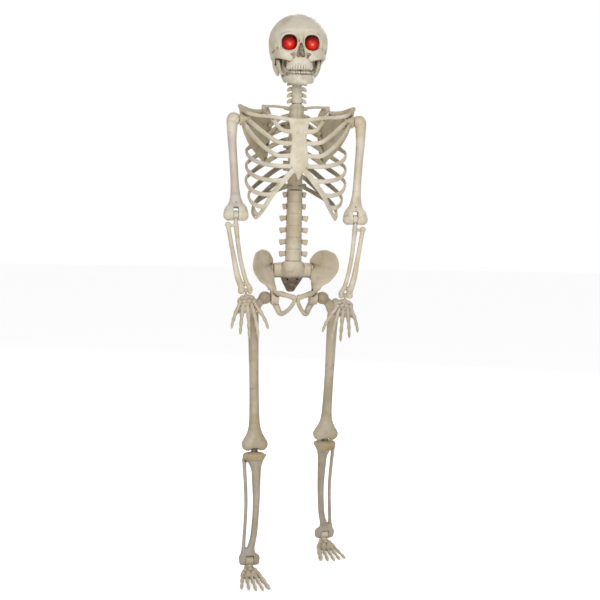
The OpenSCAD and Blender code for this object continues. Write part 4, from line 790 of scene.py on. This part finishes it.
# The same vinyl, greyer, with a dark brown second coat on the lower sacrum
loin_vinyl = moulded_vinyl("greyed bone vinyl", "#cabda8", "#b9aa8f", "#b0a497", "#54402d", soot="#5a4838")
lumbar_len, lumbar_bones = 196.6, 6
lumbar_pitch = lumbar_len / lumbar_bones
z = np.linspace(-lumbar_len, -0.4, 160)
bone = -z / lumbar_pitch
seam = band((bone - np.round(bone)) * lumbar_pitch, 0, 2.4)
r = 20.6 + 0.3 * bone + 2.0 * np.abs(np.cos(np.pi * bone)) ** 5 - 2.4 * seam
lumbar_skins = [column(z, r, 44)]
for k in range(lumbar_bones):
    level_z = -lumbar_pitch * (k + 0.42)
    # The upper two pairs of wings are shorter
    tip_x = 31 if k < 2 else 38
    wing = tube([
        (10, 4, level_z, 8, 5.4), (20, 4, level_z + 0.6, 6.6, 5.2), (tip_x - 7, 4, level_z, 7.6, 5),
        (tip_x, 4, level_z - 1.6, 9, 4.2)
    ], sides=20, count=16, square=2.4)
    spine = tube([(0, 12, level_z, 7, 4), (0, 26, level_z - 1, 7.5, 3.4), (0, 39, level_z - 2, 7, 3)],
                 up=(1, 0, 0), sides=18, count=16, square=3, bulge=0.3)
    lumbar_skins += both(wing) + [spine]
lumbar = moulding("lumbar_spine", "pelvis", lumbar_skins, pelvis, 1.2,
                  wash=lambda at: 2.5 * band(at[:, 2], 0, 3))
finish(lumbar, "bone_plastic", loin_vinyl, "lumbar_spine")

# Sacrum: the wedge between the hip bones, with pale upper part and side wings and a dark brown lower part
# with two pairs of nerve holes. The hip bones are glued to its sides.
sacrum_seam = 52.0
sacrum_body = tube([
    (0, 0, -197.2, 27, 21), (0, 0, -210.7, 30, 22), (0, 5, -224.7, 32, 20), (0, 15, -240, 33, 14),
    (0, 24, -256, 27, 10), (0, 31, -270, 19, 8), (0, 34, -285, 11, 5)
], sides=36, count=50, bulge=0.2)
sacrum_wing = tube([(10, 10, -220.7, 22, 14), (34, 13, -223, 21.5, 13), (56, 17, -225, 21, 12)],
                   sides=28, count=24)
nerve_at = [(14, -249), (11.5, -262)]
nerve_holes = [tube([(x, -20, z, 3.6, 3.6), (x, 20, z, 2.8, 2.8)], up=(0, 0, 1), sides=16, count=8)
               for x, z in nerve_at]
sacrum = moulding("sacrum", "pelvis", [sacrum_body] + both(sacrum_wing), pelvis, 1.2, blend=30,
                  cuts=both(*nerve_holes), within=block((-sacrum_seam, -60, -300), (sacrum_seam, 60, -197)),
                  wash=lambda at: 1.2 * band(np.abs(at[:, 0]), sacrum_seam, 2.5),
                  soot=lambda at: rise(at[:, 2], -238, -245))
finish(sacrum, "aged_plastic", loin_vinyl, "sacrum")

# Hip bones: one moulding a side, a spoon-shaped wing above, a boss for the thigh's pin, and a ring of bone
# below that meets its fellow at the front.
wing_bone = tube([
    (53, -20, -296, 12, 12), (59, -17, -275, 16, 11), (67, -11, -256, 24, 8), (80, -8, -235, 39, 6),
    (87, -6, -214, 51, 4.8), (87, -5, -192, 48, 4.6), (86, -3, -175, 33, 5), (86, -2, -167, 13, 3.5)
], up=(-0.7, -0.71, 0), sides=44, count=60, bow=0.08, square=2.2)
sacrum_pad = tube([(53, 19, -250, 3, 5), (56, 20, -244, 7, 10), (56, 21, -216, 7, 10), (55, 21, -208, 3, 5)],
                  sides=20)
pubic_arm = tube([
    (61, -16, -264, 10, 8), (55, -25, -274, 11.5, 10.5), (43, -37, -284, 9.5, 9), (22, -51, -290, 7, 7),
    (4, -56, -295, 6, 9)
], up=(0, 0, 1), sides=24, count=50)
sitting_arm = tube([
    (57.5, -14, -302, 9, 11), (46, -10, -324, 8, 9), (36, -16, -342, 8, 8), (22, -34, -334, 6, 6),
    (9, -49, -315, 6, 6), (3, -54, -298, 5, 5)
], up=(1, 0, 0), sides=20, count=50)
hip_boss = rod(19, 43.5, 65.5, -18, -298)
hip_skins = [wing_bone, sacrum_pad, pubic_arm, sitting_arm, hip_boss]
hip_cuts = [
    block((-20, -90, -360), (0.25, 60, -150)), block((-20, -90, -278), (52, 60, -150)),
    block((-20, -2, -360), (52, 60, -277)), block((65.5, -90, -360), (130, 60, -278))
]
for side, name in body_sides:
    across = (side, 1, 1)
    hip_bone = moulding(name + "_hip_bone", "pelvis", [g * across for g in hip_skins], pelvis, 1.3,
                        cuts=[c * across for c in hip_cuts], reach=60, blend=12,
                        wash=lambda at: 0.9 * band(np.abs(at[:, 0]), sacrum_seam, 3) * (at[:, 2] > -262))
    finish(hip_bone, "bone_plastic", loin_vinyl, name + "_hip_bone")

# Upper arms: a solid bone a side, hung on a pin in the shoulder boss; its lower end spreads into two lobes
# with a slot for the forearm's tongue.
elbow_x, elbow_z, elbow_slot_half = 8.0, -268.0, 6.75
upper_arm = [
    ball((15, 0, 0), (19, 19, 18.5), 36), tube([
        (19, 0, 8, 10, 10), (20, 0, 0, 15, 16), (20, 0, -18, 15, 15), (20, 0, -40, 13.5, 13.5),
        (19, 0, -70, 12, 12), (14.5, 0, -134, 11.2, 11.5), (11, 0, -195.6, 12.2, 11.5),
        (9, 0, -230, 18, 11.5), (8, 0, -248, 30, 14), (8, 0, -266, 34, 15.5), (8, 0, -279, 30, 11)
    ], sides=36, count=90, bulge=0.4),
    ball((elbow_x + 20, 0, elbow_z), (15, 16, 16)), ball((elbow_x - 20, 0, elbow_z), (15, 16, 16))
]
# Small hole from front to back, just above the slot
quarter_turn = np.array(((0, 1, 0), (-1, 0, 0), (0, 0, 1.0)))
small_hole = rod(2.2, -60, 60, 0, -200) @ quarter_turn + (elbow_x, 0, -34)
upper_arm_cuts = [
    block((-30, -40, -40), (0.5, 40, 40)),
    block((elbow_x - elbow_slot_half, -30, -300), (elbow_x + elbow_slot_half, 30, -247)),
    rod(3.1, elbow_x - 40, elbow_x + 40, 0, elbow_z), small_hole
]


def limb_place(upper, lower, out):
    """Place of a limb: its upper joint, with axes outward along it, back, and up from the lower joint."""
    up_way = joint_at[upper] - joint_at[lower]
    up_way -= out * (up_way @ out)
    up_way /= np.linalg.norm(up_way)
    back_way = np.cross(up_way, out) * np.sign(out[0])
    return joint_at[upper], np.array((out, back_way, up_way))


def in_slot(at, x, half, low=-np.inf, high=np.inf):
    """One on the walls of a joint's slot: points within `half` of the plane at x, between two heights."""
    return 1.0 * ((np.abs(at[:, 0] - x) < half) & (at[:, 2] > low) & (at[:, 2] < high))


def limb_pair(bone, body, skins, places, voxel, material, **shaping):
    """The left and the right moulding of one limb bone, alike but for their places."""
    for name, place in places.items():
        piece = moulding(f"{name}_{bone}", f"{name}_{body}", skins, place, voxel, **shaping)
        finish(piece, "bone_plastic", material, f"{name}_{bone}")


arm_out = {name: np.array((side, 0.0, 0.0)) for side, name in body_sides}
upper_arms = {name: limb_place(name + "_shoulder", name + "_elbow", out) for name, out in arm_out.items()}
# The walls of the elbow's slot get full wash strength: painted shade in the slot.
limb_pair("humerus", "upper_arm", upper_arm, upper_arms, 1.3, bone_vinyl, cuts=upper_arm_cuts,
          wash=lambda at: in_slot(at, elbow_x, elbow_slot_half + 0.85, high=-245.5))

# Forearms: two slim bones that cross from the elbow to a pair of knobs at the wrist, joined at both ends.
# A flat tongue fills the elbow's slot.
wrist_x, wrist_z, wrist_slot_half = -27.0, -210.0, 3.5
forearm_skins = [
    rod(12.6, -6.25, 6.25), tube([
        (0, 0, 4, 6.2, 7), (0, 0, -17, 6.2, 8), (-1, 0, -31, 7.2, 7.7), (-4, 0, -63, 6.2, 6.7),
        (-12.2, 0, -121.8, 5.8, 6), (-25.7, 0, -178.5, 6, 6.2), (-36.75, 0, -202, 7.25, 8.5),
        (-37.75, 0, -210, 7.75, 8.5), (-37.75, 0, -216, 6, 5)
    ], sides=20, count=80), tube([
        (21, 0, -23, 7, 7), (21, 0, -26, 9, 9), (20.5, 0, -31, 8, 8), (19.5, 0, -38, 6.2, 6.2),
        (14, 0, -71.4, 6, 6), (6, 0, -115.5, 6.6, 6), (-4, 0, -168, 8.4, 6.4), (-15, 0, -200, 9, 8.5),
        (-14.5, 0, -210, 9.4, 8.5), (-14.5, 0, -216, 8, 6)
    ], sides=20, count=80),
    tube([(-1, 0, -30, 5, 5), (10, 0, -29, 4, 4.5), (20, 0, -28, 4, 5)], sides=16, count=16),
    tube([(-32, 0, -191, 4, 4), (-13, 0, -191, 4, 4)], sides=16, count=16)
]
forearm_cuts = [
    rod(3.1, -20, 20),
    block((wrist_x - wrist_slot_half, -20, -240), (wrist_x + wrist_slot_half, 20, -199.5)),
    rod(2.1, wrist_x - 25, wrist_x + 25, 0, wrist_z)
]
forearms = {name: limb_place(name + "_elbow", name + "_wrist", out) for name, out in arm_out.items()}
# Painted shade on the tongue where it sits hidden in the elbow's slot.
limb_pair("forearm", "lower_arm", forearm_skins, forearms, 1.0, bone_vinyl, cuts=forearm_cuts,
          wash=lambda at: 0.45 * in_slot(at, 0, 6.6, low=-20))

# Hands: flat mouldings with a lumpy wrist, and long thin fingers that swell at every knuckle. The tongue at
# the top turns on the wrist pin.
# The same vinyl, dulled, with the darkest wash between the small bones
hand_vinyl = moulded_vinyl("dulled bone vinyl", "#c9bda7", "#b5a78c", "#aca095", "#4d3826")
hand_len = 128.0
knuckle_at = np.array((0, 0.18, 0.38, 0.52, 0.66, 0.77, 0.87, 1))
knuckles = np.array((5.4, 4.4, 5.8, 4.2, 5.2, 3.7, 4.4, 2.4))
# Each finger: where its root and its tip stand across the hand, and its share of the hand's length
finger_rows = [
    (16, 37.2, 0.80), (6.4, 13.9, 0.92), (-4.1, -10.1, 1.0), (-14.2, -34.1, 0.98), (-22, -60, 0.80)
]
hand_skins = [
    rod(6.8, -3, 3), tube([(0, 0, 0, 3, 5), (0, 0, -8.5, 3, 5.5), (0, 0, -16.5, 9, 6)], sides=18),
    tube([
        (0, 0, -11.5, 8, 4), (-1, 0, -17, 21, 6), (-2, 0, -27, 25.5, 6.5), (-3, 0, -37, 23, 4.6)
    ], sides=28),
    tube([(-2, 0, -34, 23, 3), (-4, 0.8, -48, 28, 2.8), (-5, 1.6, -59, 30, 2.2)], sides=28, square=2.6)
]
wrist_bones = [
    (-15, -3, -19), (-4, -3.5, -17), (10, -3, -18), (-21, -3, -29), (-9, -4.5, -28), (4, -4.5, -29),
    (16, -3, -30)
]
for x, y, z in wrist_bones:
    hand_skins += [ball((x, y, z), (6, 5, 5.4), 16), ball((x, -y, z), (6, 5, 5.4), 16)]
bend = np.sin(1.25 * knuckle_at) / np.sin(1.25)
for root, tip, part in finger_rows:
    across = root + (tip - root) * bend
    down = -32.5 - knuckle_at * (part * hand_len - 34.5)
    rows = np.column_stack([across, 7 * knuckle_at ** 2, down, knuckles, 0.9 * knuckles])
    hand_skins.append(tube(rows, sides=16, count=70))
hands = {name: (joint_at[name + "_wrist"], upper_arms[name][1]) for name in arm_out}
limb_pair("hand", "hand", hand_skins, hands, 0.9, hand_vinyl, cuts=[rod(2.1, -10, 10)], soften=3)

# Thighs: long solid bones, a ball and neck above that turn on the hip pin, and two broad lobes below with a
# slot for the shin's tongue. The legs are a duller, yellower shade than the chest.
# The same vinyl, yellowed, with an ochre second coat on the ball
leg_vinyl = moulded_vinyl("yellowed bone vinyl", "#b8ab96", "#a49679", "#a59a91", "#4d3a28", soot="#74592f")
knee_x, knee_z, knee_slot_half = 33.0, -404.0, 9.5
thigh_skins = [
    ball((0, 0, 0), (18, 18, 18), 36),
    tube([
        (3, 0, -2, 13, 13), (14.9, 0, -12, 12, 12), (26.4, 0, -26, 15, 13), (33, 0, -44, 14, 13)
    ], sides=28),
    tube([
        (39, 4, -2, 3, 3), (39, 4, -7, 10, 10), (37, 3, -24, 16, 14.5), (34, 1, -50, 16.2, 14.2),
        (33, 0, -90, 14.8, 13.2), (33, -3, -202, 13.2, 13.2), (33, -3, -303, 13.8, 13.2),
        (33, -3, -350, 16.2, 14.5), (33, -4, -372, 22.5, 17), (33, -4, -387, 31, 19), (33, -4, -399, 35, 19),
        (33, -3, -411, 31, 14)
    ], sides=40, count=110, bulge=0.4),
    ball((knee_x + 19, -4, -401), (17.5, 18.5, 18), 32), ball((knee_x - 19, -4, -401), (17.5, 18.5, 18), 32)
]
kneecap_groove = tube([
    (knee_x, -38, -368, 8, 10), (knee_x, -35.5, -392, 12, 15), (knee_x, -33, -418, 15, 18)
], sides=20)
thigh_cuts = [
    block((-30, -30, -30), (-15, 30, 30)),
    block((knee_x - knee_slot_half, -12.5, -450), (knee_x + knee_slot_half, 40, -391.5)),
    block((knee_x - knee_slot_half, -40, -450), (knee_x + knee_slot_half, 40, -412)),
    rod(4.1, knee_x - 45, knee_x + 45, 0, knee_z), kneecap_groove
]


def knee_wash(at):
    """Painted shade at full wash strength in the slot of the knee; the groove for the kneecap in front is
    wiped clean of wash.
    """
    slot = in_slot(at, knee_x, knee_slot_half + 0.9, high=-390) * (at[:, 1] > -14)
    wiped = 0.9 * band(at[:, 0], knee_x, 16) * rise(at[:, 2], -340, -370)
    return np.where(slot > 0, 1.0, -wiped)


leg_out = {name: side * pelvis_x for side, name in body_sides}
thighs = {name: limb_place(name + "_hip", name + "_knee", out) for name, out in leg_out.items()}
limb_pair("femur", "thigh", thigh_skins, thighs, 1.4, leg_vinyl, cuts=thigh_cuts, wash=knee_wash,
          soot=lambda at: np.minimum(rise(np.linalg.norm(at, axis=1), 22, 16), 0.4))

# Shins: the thick bone under the knee's flat plate and the slender one beside it, joined at both ends. The
# lower end forks round the foot's tongue. They are greyer than the thighs, with an ochre coat on the plate.
# The same vinyl, greyest of all, with an ochre second coat
shin_vinyl = moulded_vinyl("grey bone vinyl", "#aea393", "#9c9078", "#9d928d", "#47362a", soot="#a8925c")
ankle_x, ankle_z, ankle_slot_half = 17.0, -310.0, 11.0
shin_skins = [
    rod(12, -9, 9), tube([(0, 0, 0, 9, 9), (0, 0, -17, 9, 10), (0, 0, -27, 9, 12)], sides=24),
    tube([
        (0, 0, -21.5, 28, 15), (0, 0, -26, 33, 19), (-1, 0, -33, 31, 18), (-2, -1, -42, 23.5, 16),
        (-3, -1, -52, 17.5, 14), (-4, -1, -68, 13.4, 12.8), (-4, -1, -86.8, 12.2, 12.3),
        (-3, -1, -161.2, 9.4, 10.4), (3.4, 0, -235.6, 9, 9.4), (11.9, 0, -274, 10.5, 9.4),
        (16, 0, -287, 20, 10.5), (17, 0, -298, 28, 13), (17, 0, -312, 29, 12.5), (17, 0, -321, 25, 7)
    ], sides=36, count=100, bulge=0.3),
    tube([
        (24, 5, -29, 5, 6), (27, 6, -39, 7, 7.5), (27, 6, -57, 5.4, 5.4), (24, 5, -155, 4.9, 4.9),
        (31, 3, -260, 4.9, 5.4), (33, 1, -288, 7, 8), (33, 0, -300, 6, 8)
    ], sides=20, count=80)
]
shin_cuts = [
    rod(4.1, -20, 20),
    block((ankle_x - ankle_slot_half, -30, -350), (ankle_x + ankle_slot_half, 30, -296.6)),
    rod(3.1, ankle_x - 35, ankle_x + 35, 0, ankle_z)
]


def shin_wash(at):
    """Painted shade under the plate, on the tongue of the knee and in the slot of the ankle."""
    tongue = 0.8 * in_slot(at, 0, 9.6, low=-18)
    return 0.5 * band(at[:, 2], -42, 5) + tongue + in_slot(at, ankle_x, ankle_slot_half + 0.8, high=-295)


shins = {name: (joint_at[name + "_knee"], thighs[name][1]) for name in leg_out}
limb_pair("shin", "lower_leg", shin_skins, shins, 1.3, shin_vinyl, cuts=shin_cuts, wash=shin_wash,
          soot=lambda at: np.minimum(rise(at[:, 2], -46, -32), 0.6))

# Feet: flat-soled mouldings of the hands' dull vinyl, a heel behind the ankle's tongue, a lumpy instep and
# five separate toes in front, each swelling at its knuckles. The big toe is a third thicker.
foot_half_w, foot_len, sole_z = 38.0, 130.0, -46.0
toe_root = -0.26 * foot_len
toe_knuckles = np.array((5.2, 4.2, 5.6, 3.6, 4.8, 2.8))
# Each toe: where its root and its tip stand across the foot, how far it reaches, and its thickness
toe_rows = [
    (-0.60, -0.92, 0.93, 1.35), (-0.27, -0.44, 1.0, 1.0), (0.03, 0.05, 0.99, 1.0), (0.33, 0.52, 0.93, 1.0),
    (0.62, 1.0, 0.85, 1.0)
]
foot_skins = [
    rod(12.2, -10.4, 10.4),
    tube([
        (0, 0, 0, 10.4, 9), (0, -1, -13, 10.5, 11), (0, -3, -21, 12.5, 15), (0, -4, -30, 14.5, 16)
    ], sides=24),
    tube([
        (0, 36, -34, 4, 6), (0, 32, -34, 10, 13), (0, 18, -32, 13, 17), (0, 0, -29, 16, 16),
        (0, -16, -29, 24, 13.5), (0, -32, -32.5, 29, 9.5), (0, -42, -35, 26, 5.5)
    ], up=(0, 0, 1), sides=28)
]
instep_bones = [
    (-13, -18, -21), (0, -19, -19), (13, -18, -21), (-20, -29, -27), (-7, -31, -24), (7, -31, -24),
    (20, -29, -27)
]
foot_skins += [ball(bone, (6.2, 6, 5.6), 16) for bone in instep_bones]
along = np.linspace(0, 1, len(toe_knuckles))
for root, tip, part, thick in toe_rows:
    across = foot_half_w * (root + (tip - root) * along)
    forward = toe_root - along * (part * foot_len + toe_root)
    rows = np.column_stack([across, forward, -32 - 11 * along, thick * toe_knuckles, thick * toe_knuckles])
    foot_skins.append(tube(rows, up=(0, 0, 1), sides=16, count=60))
foot_cuts = [rod(3.1, -20, 20), block((-60, -150, -80), (60, 60, sole_z))]
foot_axes = {name: np.array((out, pelvis[1][1], (0, 0, 1))) for name, out in leg_out.items()}
feet = {name: (joint_at[name + "_ankle"], axes) for name, axes in foot_axes.items()}
limb_pair("foot", "foot", foot_skins, feet, 1.0, hand_vinyl, cuts=foot_cuts, soften=3)

# Pins, door screw, neck ring and cell contacts: mild steel, turned or stamped, bright where it was cut.
# The pins lie close in the bores of the joints. All of them stay as the frame has them.
nodes = frame["nodes"]


def plain_material(name, tone, dark, rough, metal=0.0, ior=1.5, grain_mm=1.5):
    """Finish of a small hidden part: one tone broken by fine noise in colour, roughness and relief."""
    material, tree, shader = new_material(name)
    where = add(tree, "TexCoord").outputs["Object"]
    noise = add(tree, "TexNoise", {"Vector": where, "Scale": 1 / (grain_mm * mm), "Detail": 3.0}).outputs[0]
    tone_mix = add(tree, "Mix", {0: noise, 6: linear(dark), 7: linear(tone)}, data_type="RGBA").outputs[2]
    tree.links.new(tone_mix, shader.inputs["Base Color"])
    rough_mix = add(tree, "MapRange", {0: noise, 3: rough - 0.08, 4: rough + 0.08}).outputs[0]
    tree.links.new(rough_mix, shader.inputs["Roughness"])
    bump = add(tree, "Bump", {"Height": noise, "Strength": 0.15, "Distance": 0.1 * mm})
    tree.links.new(bump.outputs[0], shader.inputs["Normal"])
    shader.inputs["Metallic"].default_value = metal
    shader.inputs["IOR"].default_value = ior
    return material


def dress(material, *names):
    """Gives nodes that stay as they are a better finish."""
    for name in names:
        nodes[name].data.materials.clear()
        nodes[name].data.materials.append(material)


# Mild steel turned on a lathe: a soft mirror with a fine grain
steel = plain_material("turned mild steel", "#c9c6c0", "#9c9892", 0.32, metal=1.0, grain_mm=0.6)
pinned = ("shoulder", "elbow", "wrist", "hip", "knee", "ankle")
pins = [f"{name}_{joint}_pin" for _, name in body_sides for joint in pinned]
dress(steel, "jaw_pins", "door_screw", "neck_ring", "cell_contacts", *pins)

# Switch, lamp holders, lamps and cells inside the skull: black ABS, clear epoxy and printed zinc jackets.
# The holders and the switch housing are glued to the shells; the cells lie in the bay behind the door.
# ABS moulded black in a grained tool: dark and half matt
black_abs = plain_material("black moulded ABS", "#22211f", "#171615", 0.45, grain_mm=0.8)
dress(black_abs, "switch_housing", "switch_slider", "lamp_holders")
# Cast epoxy, pale and glossy
dress(plain_material("clear lamp epoxy", "#e8e4dc", "#cfc9bf", 0.15, ior=1.55), "eye_lamps")
# Drawn zinc under a thin print: a dull grey-green metal
dress(plain_material("zinc cell jacket", "#5c6a58", "#46523f", 0.35, metal=0.6), "cells")

# Hang tab and battery door: pale bone plastic like the shells, the tab glued into the crown's slot and the
# door let into the back of the head, held by one screw.
dress(bone_vinyl, "hang_tab", "battery_door")
